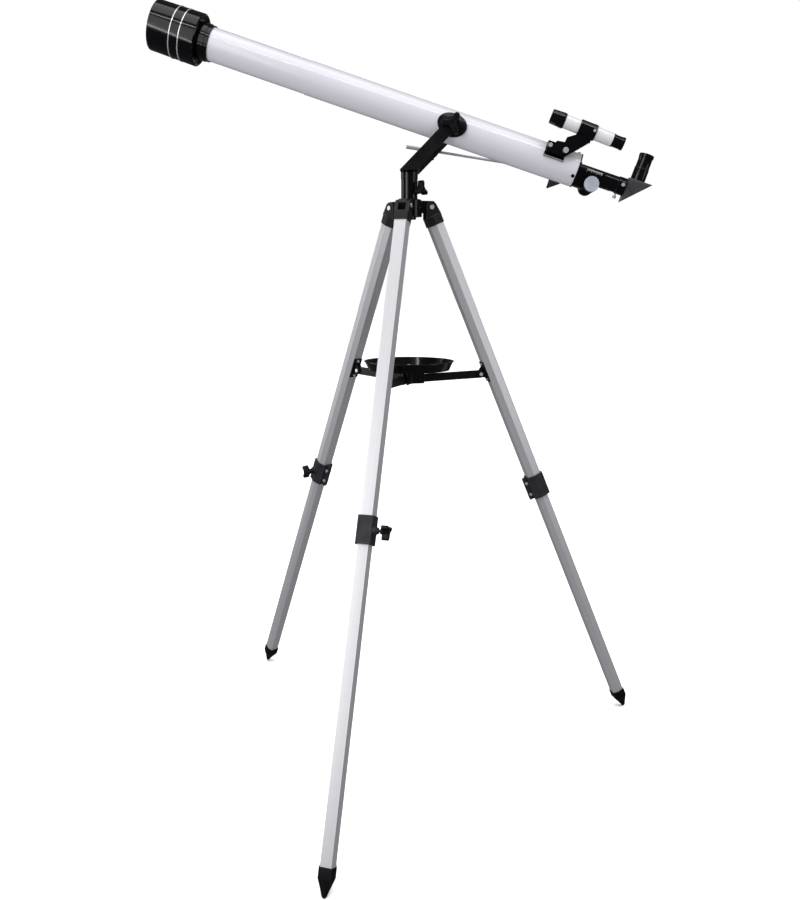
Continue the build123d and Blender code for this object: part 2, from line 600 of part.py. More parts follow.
def tripod_hub():
    hub = rod_z(HUB_RADIUS, PIVOT_Z + HUB_BOTTOM, HUB_TOP_Z)
    hub = chamfer(hub.edges().group_by(Axis.Z)[-1], 2)
    hub += rod_z(POST_RADIUS, PIVOT_Z, POST_TOP_Z)
    end = PIVOT_RADIUS + LUG_OUTER
    lug = face([(0, LUG_BOTTOM), (PIVOT_RADIUS - 8, LUG_BOTTOM), (PIVOT_RADIUS + 5, LUG_BOTTOM + 4), (end, -2),
                (end, LUG_TOP - 2), (end - 2, LUG_TOP), (0, LUG_TOP)])
    solid_lug = slab(lug, -LUG_WIDTH / 2, LUG_WIDTH / 2)
    solid_lug -= rod_y(PIN_RADIUS, -40, 40, x=PIVOT_RADIUS)
    for azimuth in LEG_AZIMUTHS.values():
        hub += Rot(0, 0, azimuth - 90) * Pos(0, 0, PIVOT_Z) * solid_lug
    hub -= rod_z(SPINDLE_RADIUS + RUN, 0, POST_TOP_Z + 1)
    stud = rod_x(AZIMUTH_STUD_RADIUS + RUN, SPINDLE_RADIUS - 2, 40)
    return hub - Rot(0, 0, AZIMUTH_KNOB_ANGLE - 90) * Pos(0, 0, AZIMUTH_KNOB_Z) * stud


def leg_hinge_pins():
    reach = LUG_WIDTH / 2 + GAP + EAR_THICKNESS + GAP
    pin = rod_y(PIN_RADIUS, -reach, reach)
    for side in (-1, 1):
        low, high = sorted((side * reach, side * (reach + PIN_HEAD)))
        pin += rod_y(PIN_HEAD_RADIUS, low, high)
    place = Pos(PIVOT_RADIUS, 0, PIVOT_Z)
    return Compound([Rot(0, 0, azimuth - 90) * place * pin.solid() for azimuth in LEG_AZIMUTHS.values()])


def azimuth_lock_knob():
    stud = rod_x(AZIMUTH_STUD_RADIUS, SPINDLE_RADIUS + GAP, AZIMUTH_STUD_REACH + 3)
    knob = Pos(AZIMUTH_STUD_REACH, 0, 0) * Rot(0, 90, 0) * Rot(0, 0, 90) * lobed_knob(
        AZIMUTH_KNOB_REACH, AZIMUTH_KNOB_THICKNESS)
    return Rot(0, 0, AZIMUTH_KNOB_ANGLE - 90) * Pos(0, 0, AZIMUTH_KNOB_Z) * (stud + knob)


def azimuth_post():
    """The collar and spindle that carry the fork, and the nut that holds them down."""
    bottom = PIVOT_Z + HUB_BOTTOM
    post = rod_z(SPINDLE_RADIUS, bottom - GAP - SPINDLE_NUT, POST_TOP_Z + GAP + 1)
    collar = rod_z(COLLAR_RADIUS, POST_TOP_Z + GAP, COLLAR_TOP_Z)
    collar = chamfer(collar.edges().group_by(Axis.Z)[-1], 0.8)
    nut = rod_z(SPINDLE_NUT_RADIUS, bottom - GAP - SPINDLE_NUT, bottom - GAP)
    nut -= rod_z(SPINDLE_RADIUS, 0, bottom)
    return Compound([(post + collar).solid(), nut.solid()])


# ---- fork and altitude parts --------------------------------------------------------------------
def fork_direction():
    rise, run = TRUNNION_Z - COLLAR_TOP_Z, TRUNNION_X
    length = hypot(rise, run)
    return run / length, rise / length


def fork():
    along_x, along_z = fork_direction()
    half = FORK_WIDTH / 2
    foot_half = half / along_z
    top_x, top_z = TRUNNION_X, TRUNNION_Z
    side_x, side_z = -along_z * half, along_x * half
    arm = face([(-foot_half, COLLAR_TOP_Z), (foot_half, COLLAR_TOP_Z),
                (top_x - side_x, top_z - side_z), (top_x + side_x, top_z + side_z)])
    arm += Pos(top_x, top_z) * Circle(FORK_END_RADIUS)
    outer = FORK_INNER + FORK_PLATE
    arms = slab(arm, -outer, outer)
    inside = block(-200, 300, -FORK_INNER, FORK_INNER, COLLAR_TOP_Z + FORK_PLATE, 2 * TRUNNION_Z)
    clamp_x, clamp_z = rod_clamp_point()
    arms -= rod_y(ROD_CLAMP_PIN_RADIUS + RUN, 0, 2 * outer, x=clamp_x, z=clamp_z)
    return arms - inside - rod_y(TRUNNION_RADIUS + RUN, -100, 100, x=top_x, z=top_z)


def tube_place():
    """The tube's frame: origin on the trunnion axis, X along the tube to the eyepiece, Z up from it."""
    return Pos(TRUNNION_X, 0, TRUNNION_Z) * Rot(0, TUBE_ALTITUDE, 0)


def trunnion_saddles():
    shell = tube_x(TUBE_RADIUS + SADDLE_THICKNESS, TUBE_RADIUS, -SADDLE_LENGTH, SADDLE_LENGTH)
    trim = slab(Ellipse(SADDLE_LENGTH / 2, SADDLE_HEIGHT / 2), -100, 0)
    plate = (shell & trim).solid()
    shoulder = FORK_INNER - GAP
    end = FORK_INNER + FORK_PLATE + ALTITUDE_KNOB_THICKNESS / 2
    boss = rod_y(SADDLE_BOSS_RADIUS, -shoulder, -TUBE_RADIUS - 0.5)
    stud = rod_y(TRUNNION_RADIUS, -end, -TUBE_RADIUS - 0.5)
    plate = plate + boss + stud
    for side in (-1, 1):
        plate -= rod_y(SADDLE_SCREW_RADIUS / 2, -60, -20, x=side * SADDLE_SCREW_SPACING / 2)
    plate = plate.solid()
    return Compound([plate, Rot(0, 0, 180) * plate])


def altitude_knob(side):
    """A lobed knob on the end of a trunnion stud; side is -1 for the near one and 1 for the far one."""
    start = FORK_INNER + FORK_PLATE + GAP + 0.12 * ALTITUDE_KNOB_THICKNESS + 0.15 * ALTITUDE_KNOB_THICKNESS
    knob = lobed_knob(ALTITUDE_KNOB_REACH, ALTITUDE_KNOB_THICKNESS, TRUNNION_RADIUS + RUN)
    return Pos(0, side * start, 0) * Rot(-90 * side, 0, ALTITUDE_KNOB_TURN) * knob


def tube_screws():
    """Saddle screws and the screws that hold the focuser in the tube's end."""
    pieces = []
    top = TUBE_RADIUS + SADDLE_THICKNESS
    for turn in (0, 180):
        for side in (-1, 1):
            x = side * SADDLE_SCREW_SPACING / 2
            screw = rod_y(SADDLE_SCREW_RADIUS / 2, -top - 1, -TUBE_RADIUS, x=x)
            screw += rod_y(SCREW_HEAD_RADIUS, -top - SADDLE_SCREW_HEAD, -top, x=x)
            pieces.append(Rot(0, 0, turn) * screw)
    heads = [roll * rod_z(SCREW_HEAD_RADIUS, TUBE_RADIUS, TUBE_RADIUS + 1.6, x=FOCUSER_SCREW_S)
             for roll in focuser_screw_rolls()]
    pieces += [stem + head for stem, head in zip(focuser_screw_rods(FOCUSER_SCREW_DEPTH), heads)]
    return Compound([piece.solid() for piece in pieces])


def focuser_screw_rolls():
    return [Rot(FOCUSER_SCREW_ROLL + turn, 0, 0) for turn in (0, 120, 240)]


def focuser_screw_rods(depth):
    stem = rod_z(FOCUSER_SCREW_RADIUS, TUBE_RADIUS - depth, TUBE_RADIUS + 0.5, x=FOCUSER_SCREW_S)
    return [roll * stem for roll in focuser_screw_rolls()]


def rod_clamp_point():
    return (ROD_CLAMP_UP_ARM * TRUNNION_X,
            COLLAR_TOP_Z + ROD_CLAMP_UP_ARM * (TRUNNION_Z - COLLAR_TOP_Z))


def rod_pivot_point():
    tilt = radians(TUBE_ALTITUDE)
    return (TRUNNION_X + ROD_PIVOT_S * cos(tilt) + ROD_PIVOT_W * sin(tilt),
            TRUNNION_Z - ROD_PIVOT_S * sin(tilt) + ROD_PIVOT_W * cos(tilt))


def rod_frame():
    """Origin at the clamp, X along the rod towards its pivot on the tube."""
    (x0, z0), (x1, z1) = rod_clamp_point(), rod_pivot_point()
    span = hypot(x1 - x0, z1 - z0)
    tilt = degrees(atan2(z0 - z1, x1 - x0))
    return Pos(x0, 0, z0) * Rot(0, tilt, 0), span


def altitude_rod():
    place, span = rod_frame()
    rod = rod_x(ROD_RADIUS, -ROD_SLEEVE_BEHIND_CLAMP - 2, span, y=ROD_Y)
    rod += rod_x(ROD_SLEEVE_RADIUS, -ROD_BEHIND_CLAMP, -ROD_SLEEVE_BEHIND_CLAMP, y=ROD_Y)
    rod += rod_y(ROD_EYE_RADIUS, ROD_Y - ROD_EYE / 2, ROD_Y + ROD_EYE / 2, x=span)
    rod -= rod_y(ROD_PIVOT_RADIUS + RUN, ROD_Y - 10, ROD_Y + 10, x=span)
    return place * rod


def rod_clamp():
    """The swivel eye on the far arm, with its locking screw."""
    place, _ = rod_frame()
    size, outer = ROD_CLAMP_SIZE / 2, FORK_INNER + FORK_PLATE
    body = block(-size, size, outer + GAP, ROD_Y + size, -size, size)
    body -= rod_x(ROD_CLAMP_BORE, -20, 20, y=ROD_Y)
    body += rod_y(ROD_CLAMP_PIN_RADIUS, FORK_INNER - 3, outer + 2)
    body += rod_y(5.0, FORK_INNER - 3, FORK_INNER - GAP)
    body -= rod_z(ROD_CLAMP_SCREW_RADIUS, -size - 9, 0, y=ROD_Y)
    screw = rod_z(ROD_CLAMP_SCREW_RADIUS, -size - 9, -ROD_CLAMP_BORE - GAP, y=ROD_Y)
    screw += rod_z(2 * ROD_CLAMP_SCREW_RADIUS, -size - 9, -size - 3, y=ROD_Y)
    return place * Compound([body.solid(), screw.solid()])


def rod_bracket():
    """A strap on the tube's far side with a triangular plate that carries the rod's pivot."""
    s, w = ROD_PIVOT_S, ROD_PIVOT_W
    inner = ROD_Y - ROD_EYE / 2 - GAP - ROD_PLATE
    plate = slab(face([(s - 10, w + 14), (s + 46, w + 14), (s + 14, w - 24), (s - 7, w - 40), (s - 9, w - 38)]),
                 inner, inner + ROD_PLATE)
    end = s + ROD_STRAP_REACH
    strap = tube_x(TUBE_RADIUS + ROD_PLATE, TUBE_RADIUS, s - 10, end)
    strap &= block(s - 20, s + 60, 0, 60, w - 14, w + 24)
    web = block(s - 10, end, TUBE_RADIUS - 1, inner + 1, w + 8, w + 14)
    web -= rod_x(TUBE_RADIUS, s - 30, s + 70)
    pin = rod_y(ROD_PIVOT_RADIUS, inner + 1, ROD_Y + ROD_EYE / 2 + GAP + 2, x=s, z=w)
    pin += rod_y(4.0, ROD_Y + ROD_EYE / 2 + GAP, ROD_Y + ROD_EYE / 2 + GAP + 2, x=s, z=w)
    return strap + web + plate + pin


# ---- optical tube -------------------------------------------------------------------------------
FRONT_RADIUS = TUBE_RADIUS - TUBE_WALL


def rear_tube():
    tube = tube_x(TUBE_RADIUS, FRONT_RADIUS, TUBE_STEP, TUBE_END)
    for hole in focuser_screw_rods(FOCUSER_SCREW_DEPTH):
        tube -= hole
    return tube


def front_tube():
    return tube_x(FRONT_RADIUS, FRONT_RADIUS - TUBE_WALL, TUBE_START - CELL_LAP, TUBE_STEP + TUBE_LAP)


CELL_FRONT = TUBE_START - CELL_LENGTH
LENS_SEAT = CELL_FRONT + RETAINER + CROWN_THICKNESS + LENS_AIR_GAP + FLINT_THICKNESS


def objective_cell():
    """The cell, and the ring that holds the lenses in it."""
    lap = TUBE_START - CELL_LAP
    cell = turned_x([
        (CELL_FRONT, LENS_RADIUS), (LENS_SEAT, LENS_RADIUS), (LENS_SEAT, LENS_STOP_RADIUS),
        (lap, LENS_STOP_RADIUS), (lap, FRONT_RADIUS), (TUBE_START, FRONT_RADIUS),
        (TUBE_START, CELL_NECK_RADIUS), (TUBE_START - CELL_NECK, CELL_NECK_RADIUS),
        (TUBE_START - CELL_NECK, CELL_RADIUS), (CELL_FRONT, CELL_RADIUS),
    ])
    ring = tube_x(LENS_RADIUS, LENS_STOP_RADIUS, CELL_FRONT + 0.5, CELL_FRONT + RETAINER - GAP)
    return Compound([cell.solid(), ring.solid()])


def objective_lens():
    """A crown and a flint element with an air gap, seated against the cell's shoulder."""
    crown_rear = CELL_FRONT + RETAINER + CROWN_THICKNESS
    crown = lens(LENS_RADIUS, CELL_FRONT + RETAINER, crown_rear, CROWN_BULGE, 0.4)
    flint = lens(LENS_RADIUS, crown_rear + LENS_AIR_GAP, LENS_SEAT)
    return Compound([Rot(0, 90, 0) * crown.solid(), Rot(0, 90, 0) * flint.solid()])


def dew_shield():
    front = DEW_REAR - DEW_LENGTH
    back = DEW_REAR - DEW_BACK
    plate = back - DEW_BACK_PLATE
    return turned_x([
        (front + DEW_MOUTH, DEW_RADIUS - DEW_WALL), (front, DEW_RADIUS - DEW_WALL), (front, DEW_RADIUS),
        (DEW_REAR - 2, DEW_REAR_RADIUS),
        (DEW_REAR, DEW_REAR_RADIUS - 2), (DEW_REAR, DEW_REAR_RADIUS - DEW_WALL - 2), (back, CELL_RADIUS + 5),
        (back, CELL_RADIUS), (plate, CELL_RADIUS), (plate, DEW_REAR_RADIUS - DEW_WALL - 1),
    ])


# ---- focuser ------------------------------------------------------------------------------------
def focuser_body():
    end = TUBE_END
    sleeve = rod_x(FOCUSER_SLEEVE_RADIUS, FOCUSER_SLEEVE_START, end)
    plug = rod_x(FRONT_RADIUS, FOCUSER_PLUG_START, end)
    plug -= rod_x(FRONT_RADIUS - 2.5, FOCUSER_PLUG_START - 1, end - FOCUSER_FACE)
    rim = rod_x(TUBE_RADIUS + FOCUSER_RIM_PROUD, end, end + FOCUSER_RIM)
    cap = rod_x(FOCUSER_SLEEVE_RADIUS, end, end + 6)
    body = plug + sleeve + rim + cap
    body += block(end, PINION_BLOCK_END, -PINION_BLOCK_HALF, PINION_BLOCK_HALF, PINION_BLOCK_BOTTOM, -8)
    body += rod_y(6.5, -PINION_BOSS_REACH, PINION_BOSS_REACH, x=PINION_S, z=pinion_w())
    body -= rod_x(DRAW_RADIUS + RUN, FOCUSER_SLEEVE_START - 1, PINION_BLOCK_END + 20)
    slot = RACK_WIDTH / 2 + GAP
    slot_bottom = RACK_PITCH_W - GEAR_MODULE - GAP
    body -= block(FOCUSER_SLEEVE_START - 1, PINION_BLOCK_END + 20, -slot, slot, slot_bottom, 0)
    tip = GEAR_MODULE * (PINION_TEETH / 2 + 1) + GAP
    body -= rod_y(tip, -slot - 1, slot + 1, x=PINION_S, z=pinion_w())
    body -= rod_y(SHAFT_RADIUS + RUN, -100, 100, x=PINION_S, z=pinion_w())
    for hole in focuser_screw_rods(FOCUSER_SCREW_DEPTH):
        body -= hole
    return body


def pinion_w():
    return RACK_PITCH_W - GEAR_MODULE * PINION_TEETH / 2


def rack_outline():
    """Straight-flanked teeth pointing down from the rack's pitch line, one tooth at the pinion."""
    pitch = pi * GEAR_MODULE
    slope = tan(radians(20))
    half = pitch / 4 - GEAR_BACKLASH / 2
    top, root = RACK_PITCH_W - GEAR_MODULE, RACK_PITCH_W + 1.2 * GEAR_MODULE
    first = int((RACK_START - PINION_S) / pitch) + 1
    last = int((RACK_END - PINION_S) / pitch) - 1
    points = [(PINION_S + first * pitch - pitch / 2, root + 1.6), (PINION_S + first * pitch - pitch / 2, root)]
    for tooth in range(first, last + 1):
        centre = PINION_S + tooth * pitch
        wide, narrow = half + slope * (root - RACK_PITCH_W), half - slope * GEAR_MODULE
        points += [(centre - wide, root), (centre - narrow, top), (centre + narrow, top), (centre + wide, root)]
    end = PINION_S + last * pitch + pitch / 2
    return face(points + [(end, root), (end, root + 1.6)])


def drawtube():
    inner = DRAW_RADIUS - DRAW_WALL
    tube = tube_x(DRAW_RADIUS, inner, DRAW_START, DRAW_COLLAR_START + 1)
    collar = turned_x([
        (DRAW_COLLAR_START, inner), (DRAW_COLLAR_START, DRAW_COLLAR_RADIUS - 0.8),
        (DRAW_COLLAR_START + 0.8, DRAW_COLLAR_RADIUS), (DRAW_COLLAR_END - 0.8, DRAW_COLLAR_RADIUS),
        (DRAW_COLLAR_END, DRAW_COLLAR_RADIUS - 0.8), (DRAW_COLLAR_END, BARREL_RADIUS + RUN),
        (DRAW_COLLAR_START + 1, BARREL_RADIUS + RUN), (DRAW_COLLAR_START + 1, inner),
    ])
    half = RACK_WIDTH / 2
    root = RACK_PITCH_W + 1.2 * GEAR_MODULE
    tube -= block(RACK_START, RACK_END, -half, half, RACK_PITCH_W - 5, root)
    tube += slab(rack_outline(), -half, half)
    tube += collar
    tube -= rod_y(THUMB_STUD_RADIUS, -30, -5, x=THUMB_S)
    return tube - rod_z(THUMB_STUD_RADIUS, -30, -5, x=THUMB_LOW_S)


def thumbscrew():
    """A knurled-head screw on the Z axis, its head standing clear of the drawtube's collar."""
    head = DRAW_COLLAR_RADIUS + 4
    screw = rod_z(THUMB_STUD_RADIUS, BARREL_RADIUS + 1.2, head + 1)
    knurled = Pos(0, 0, head) * extrude(RegularPolygon(THUMB_HEAD_RADIUS, 12), THUMB_HEAD)
    return (screw + knurled).solid()


def drawtube_thumbscrews():
    near = Pos(THUMB_S, 0, 0) * Rot(90, 0, 0) * thumbscrew()
    low = Pos(THUMB_LOW_S, 0, 0) * Rot(180, 0, 0) * thumbscrew()
    return Compound([near, low])


def involute_pinion():
    """A spur pinion on the Z axis with a tooth gap centred on +Y."""
    teeth, module = PINION_TEETH, GEAR_MODULE
    pitch_r = module * teeth / 2
    base_r = pitch_r * cos(radians(20))
    root_r, tip_r = pitch_r - 1.15 * module, pitch_r + 0.9 * module
    roll = tan(radians(20)) - radians(20)
    half_angle = (pi / 2 - GEAR_BACKLASH / module) / teeth + roll
    flank = []
    for step in range(6):
        radius = base_r + (tip_r - base_r) * step / 5
        unwound = ((radius / base_r) ** 2 - 1) ** 0.5
        flank.append((radius, half_angle - unwound + atan(unwound)))
    outline = []
    for tooth in range(teeth):
        centre = pi / 2 + (tooth + 0.5) * 2 * pi / teeth
        outline.append((root_r * cos(centre - half_angle), root_r * sin(centre - half_angle)))
        for radius, angle in flank:
            outline.append((radius * cos(centre - angle), radius * sin(centre - angle)))
        for radius, angle in reversed(flank):
            outline.append((radius * cos(centre + angle), radius * sin(centre + angle)))
        outline.append((root_r * cos(centre + half_angle), root_r * sin(centre + half_angle)))
    return extrude(face(outline), RACK_WIDTH)


def focus_shaft():
    """The pinion on its shaft, and the bright caps let into the two knobs."""
    pinion = Pos(PINION_S, RACK_WIDTH / 2, pinion_w()) * Rot(90, 0, 0) * involute_pinion()
    shaft = rod_y(SHAFT_RADIUS, -KNOB_FACE + 3, KNOB_FACE - 3, x=PINION_S, z=pinion_w())
    caps = [rod_y(KNOB_CAP_RADIUS, side * KNOB_FACE - KNOB_CAP / 2, side * KNOB_FACE + KNOB_CAP / 2,
                  x=PINION_S, z=pinion_w()) for side in (-1, 1)]
    return Compound([(pinion + shaft).solid()] + [cap.solid() for cap in caps])


def focus_knobs():
    """A pair of ribbed knobs, hollow behind, each with a seat for its cap."""
    inner, outer = KNOB_FACE - KNOB_LENGTH, KNOB_FACE
    knob = turned_z([
        (SHAFT_RADIUS, inner), (7, inner), (7, inner + 3), (KNOB_RADIUS - 2.2, inner + 4),
        (KNOB_RADIUS, inner + 5), (KNOB_RADIUS, outer - 1.5), (KNOB_RADIUS - 1, outer),
        (KNOB_CAP_RADIUS, outer), (KNOB_CAP_RADIUS, outer - KNOB_CAP / 2), (0, outer - KNOB_CAP / 2),
        (0, outer - 3), (SHAFT_RADIUS, outer - 3),
    ])
    groove = rod_z(0.5, inner + 6, outer - 2.5, x=KNOB_RADIUS + 0.15)
    for turn in range(0, 360, 15):
        knob -= Rot(0, 0, turn) * groove
    knob = knob.solid()
    place = Pos(PINION_S, 0, pinion_w())
    return Compound([place * Rot(90, 0, 0) * knob, place * Rot(-90, 0, 0) * knob])


# ---- star diagonal and eyepiece -----------------------------------------------------------------
def diagonal_housing():
    s0, top = DIAGONAL_START, DIAGONAL_TOP
    shape = face([(s0, top), (s0 + DIAGONAL_LEG, top), (s0, top - DIAGONAL_LEG)])
    half = DIAGONAL_HALF_WIDTH
    body = slab(shape, -half, half)
    body = chamfer(body.edges().filter_by(Axis.Y, reverse=True), DIAGONAL_BEVEL)
    nose = tube_x(BARREL_RADIUS, NOSE_BORE, s0 - NOSE_LENGTH, s0 + 1)
    body += nose
    body += rod_z(HOLDER_RADIUS, top - 1, HOLDER_TOP, x=DIAGONAL_AXIS_S)
    body -= rod_x(NOSE_BORE, s0 - 1, DIAGONAL_AXIS_S - PRISM_HALF_LEG + 1)
    body -= diagonal_prism()
    body -= rod_z(BARREL_RADIUS + RUN, PRISM_HALF_LEG - 1, HOLDER_TOP + 5, x=DIAGONAL_AXIS_S)
    return body


def diagonal_prism():
    s, leg = DIAGONAL_AXIS_S, PRISM_HALF_LEG
    return slab(face([(s - leg, -leg), (s + leg, leg), (s - leg, leg)]), -PRISM_HALF_WIDTH, PRISM_HALF_WIDTH)


def eyepiece():
    barrel, body, grip, bore = BARREL_RADIUS, EYEPIECE_BODY_RADIUS, EYEPIECE_GRIP_RADIUS, EYEPIECE_BORE
    low, top, seat = EYEPIECE_BOTTOM, EYEPIECE_TOP, HOLDER_TOP + GAP
    shape = turned_z([
        (bore, low), (barrel, low), (barrel, seat), (body - 0.4, seat), (body - 0.4, seat + 2),
        (grip - 0.6, seat + 2), (grip - 0.6, seat + 3.2), (grip, seat + 3.2), (grip, top - 8), (body, top - 5),
        (body, top - 0.6), (body - 0.6, top),
        (EYE_LENS_RADIUS + 2, top), (EYE_LENS_RADIUS, top - 4), (EYE_LENS_RADIUS, top - 9), (bore, top - 9),
    ])
    return Pos(DIAGONAL_AXIS_S, 0, 0) * shape


def eyepiece_lens():
    field = lens(EYEPIECE_BORE, EYEPIECE_BOTTOM + 10, EYEPIECE_BOTTOM + 13, 2.0)
    eye = lens(EYE_LENS_RADIUS, EYEPIECE_TOP - 8.5, EYEPIECE_TOP - 6, 1.5)
    place = Pos(DIAGONAL_AXIS_S, 0, 0)
    return Compound([place * field.solid(), place * eye.solid()])


# ---- finder -------------------------------------------------------------------------------------
def finder_place():
    """The finder's frame within the tube's frame: X along the finder, origin in its ring."""
    return Pos(FINDER_S, FINDER_Y, FINDER_W) * Rot(0, FINDER_DROOP, 0)


def finder_tube():
    inner = FINDER_TUBE_RADIUS - FINDER_WALL
    body = tube_x(FINDER_TUBE_RADIUS, inner, FINDER_FRONT + 4, FINDER_REAR - FINDER_EYE_LENGTH + 3)
    return finder_place() * body


def finder_ends():
    """The objective hood with its lens seat, and the eyepiece."""
    front, rear, tube = FINDER_FRONT, FINDER_REAR, FINDER_TUBE_RADIUS
    hood = turned_x([
        (front, FINDER_HOOD_RADIUS - 1.2), (front, FINDER_HOOD_RADIUS),
        (front + FINDER_HOOD_LENGTH - 3, FINDER_HOOD_REAR_RADIUS),
        (front + FINDER_HOOD_LENGTH, FINDER_HOOD_REAR_RADIUS - 1), (front + FINDER_HOOD_LENGTH, tube),
        (front + 4, tube), (front + 4, FINDER_HOOD_RADIUS - 1.2),
    ])
    start = rear - FINDER_EYE_LENGTH
    inner = tube - FINDER_WALL
    eye = turned_x([
        (start, tube), (start, tube - 0.1), (start, inner - 5), (rear, inner - 5), (rear, 12.0),
        (rear - 0.6, 12.6), (rear - 5, 12.6), (rear - 6, 11.9), (start + 6, 11.9), (start + 6, tube - 0.4),
        (start + 3, tube - 0.4), (start + 3, tube),
    ])
    place = finder_place()
    eye -= tube_x(tube, inner, start - 1, start + 3)
    return Compound([place * hood.solid(), place * eye.solid()])


def finder_bracket():
    """A curved foot on the tube's near side, a stepped stalk, and the ring around the finder."""
    s0, length = FINDER_SADDLE_START, FINDER_SADDLE_LENGTH
    foot = tube_x(TUBE_RADIUS + FINDER_SADDLE_THICKNESS, TUBE_RADIUS, s0, s0 + length)
    span = 80.0
    first, last = radians(FINDER_SADDLE_FROM), radians(FINDER_SADDLE_TO)
    wedge = face([(0, 0), (-span * sin(first), span * cos(first)),
                  (-span * sin((first + last) / 2), span * cos((first + last) / 2)),
                  (-span * sin(last), span * cos(last))])
    foot &= Pos(s0 - 1, 0, 0) * extrude(Plane.YZ * wedge, length + 2)
    top = FINDER_W - FINDER_RING_RADIUS + 2
    outline = face([(s0 + 2, 10), (s0 + length, 10), (FINDER_S + 13, top - 7), (FINDER_S + 13, top),
                    (FINDER_S - 12, top + 2), (s0 + 32, top - 12), (s0 + 31, top - 22), (s0 + 16, top - 24),
                    (s0 + 14, top - 28), (s0, top - 28)])
    half = FINDER_STALK_HALF
    stalk = slab(outline, FINDER_Y - half, FINDER_Y + half)
    shelf = block(s0 + 2, s0 + length, FINDER_Y + half - 2, -10, 18, 27)
    ring = finder_place() * tube_x(FINDER_RING_RADIUS, FINDER_TUBE_RADIUS, -FINDER_RING_HALF, FINDER_RING_HALF)
    bore = finder_place() * rod_x(FINDER_TUBE_RADIUS, -60, 60)
    bracket = stalk + shelf - rod_x(TUBE_RADIUS, s0 - 20, s0 + length + 60)
    return bracket + foot + ring - bore - finder_screws()


def finder_screws():
    """The foot's nuts, and the screws that bear on the finder in its ring."""
    pieces = []
    half = FINDER_Y - FINDER_STALK_HALF
    for along, radius in ((6, 4.2), (38, 5.6)):
        nut = extrude(RegularPolygon(radius, 14), 5)
        pieces.append(Pos(FINDER_SADDLE_START + along, half, 22) * Rot(90, 0, 0) * nut)
    for roll in (-35, 90, 205):
        screw = rod_z(1.4, FINDER_RING_RADIUS, FINDER_RING_RADIUS + 6, x=FINDER_RING_HALF - 5)
        screw += rod_z(2.8, FINDER_RING_RADIUS + 3, FINDER_RING_RADIUS + 6, x=FINDER_RING_HALF - 5)
        pieces.append(finder_place() * Rot(roll, 0, 0) * screw)
    return Compound([piece.solid() for piece in pieces])


# ---- the whole model ----------------------------------------------------------------------------
def model():
    tube = tube_place()
    nodes = {
        "tripod_hub": tripod_hub(),
        "leg_hinge_pins": leg_hinge_pins(),
        "azimuth_lock_knob": azimuth_lock_knob(),
        "azimuth_post": azimuth_post(),
        "fork": fork(),
        "altitude_knob_near": tube * altitude_knob(-1),
        "altitude_knob_far": tube * altitude_knob(1),
        "altitude_rod": altitude_rod(),
        "rod_clamp": rod_clamp(),
        "spreader_hub": spreader_hub(),
        "tray": tray(),
        "tray_screw": tray_screw(),
    }
    for maker in (trunnion_saddles, tube_screws, rod_bracket, front_tube, rear_tube, objective_cell,
                  objective_lens, dew_shield, focuser_body, drawtube, drawtube_thumbscrews, focus_shaft,
                  focus_knobs, diagonal_housing, diagonal_prism, eyepiece, eyepiece_lens, finder_bracket,
                  finder_tube, finder_ends, finder_screws):
        nodes[maker.__name__] = tube * maker()
    for maker in (leg_socket, upper_leg, leg_clamp, clamp_knob, lower_leg, foot, leg_fasteners, spreader_bracket):
        shape = maker()
        for side, azimuth in LEG_AZIMUTHS.items():
            nodes[maker.__name__ + "_" + side] = leg_place(azimuth) * shape
    arm = spreader_arm()
    for side, azimuth in LEG_AZIMUTHS.items():
        nodes["spreader_arm_" + side] = Rot(0, 0, azimuth - 90) * arm
    return nodes


os.makedirs("parts", exist_ok=True)
for name, shape in model().items():
    export_step(shape, "parts/" + name + ".step")
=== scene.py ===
"""The looks of a small refracting telescope on its tripod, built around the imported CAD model."""

import json
import math

import bmesh
import bpy
from mathutils import Matrix, Vector


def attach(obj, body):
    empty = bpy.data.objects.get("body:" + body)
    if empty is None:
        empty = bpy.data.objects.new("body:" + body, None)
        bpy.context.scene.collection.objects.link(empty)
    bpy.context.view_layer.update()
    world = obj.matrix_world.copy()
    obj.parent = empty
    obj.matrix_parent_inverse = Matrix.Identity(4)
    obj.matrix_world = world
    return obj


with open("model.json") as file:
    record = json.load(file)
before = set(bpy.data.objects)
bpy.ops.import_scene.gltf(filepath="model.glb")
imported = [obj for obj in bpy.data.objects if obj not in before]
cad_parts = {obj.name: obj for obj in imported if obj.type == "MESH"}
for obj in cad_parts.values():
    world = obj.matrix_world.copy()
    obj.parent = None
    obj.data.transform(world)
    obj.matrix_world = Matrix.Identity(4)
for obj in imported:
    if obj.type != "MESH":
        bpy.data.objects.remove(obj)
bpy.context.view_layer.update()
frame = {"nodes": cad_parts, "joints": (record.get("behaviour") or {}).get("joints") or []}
nodes = frame["nodes"]
joints = {joint["name"]: joint for joint in frame["joints"]}

LEGS = ("front", "right", "left")
MM = 0.001


# ---- frames ---------------------------------------------------------------------------------------
def frame_along(origin, axis, up):
    """A matrix whose X runs along axis and whose Z is as near to up as it can be."""
    x = Vector(axis).normalized()
    y = Vector(up).cross(x).normalized()
    z = x.cross(y)
    turn = Matrix((x, y, z)).transposed().to_4x4()
    return Matrix.Translation(Vector(origin)) @ turn


trunnion = Vector(joints["altitude"]["pos_m"])
TUBE = frame_along(trunnion, joints["focus_travel"]["axis"], (0, 0, 1))
leg_axis = {leg: Vector(joints["leg_" + leg + "_slide"]["axis"]).normalized() for leg in LEGS}


def node_span(name, place):
    """Lowest and highest corner of a node in the frame given by place."""
    inverse = place.inverted()
    points = [inverse @ vertex.co for vertex in nodes[name].data.vertices]
    low = Vector([min(point[i] for point in points) for i in range(3)])
    high = Vector([max(point[i] for point in points) for i in range(3)])
    return low, high


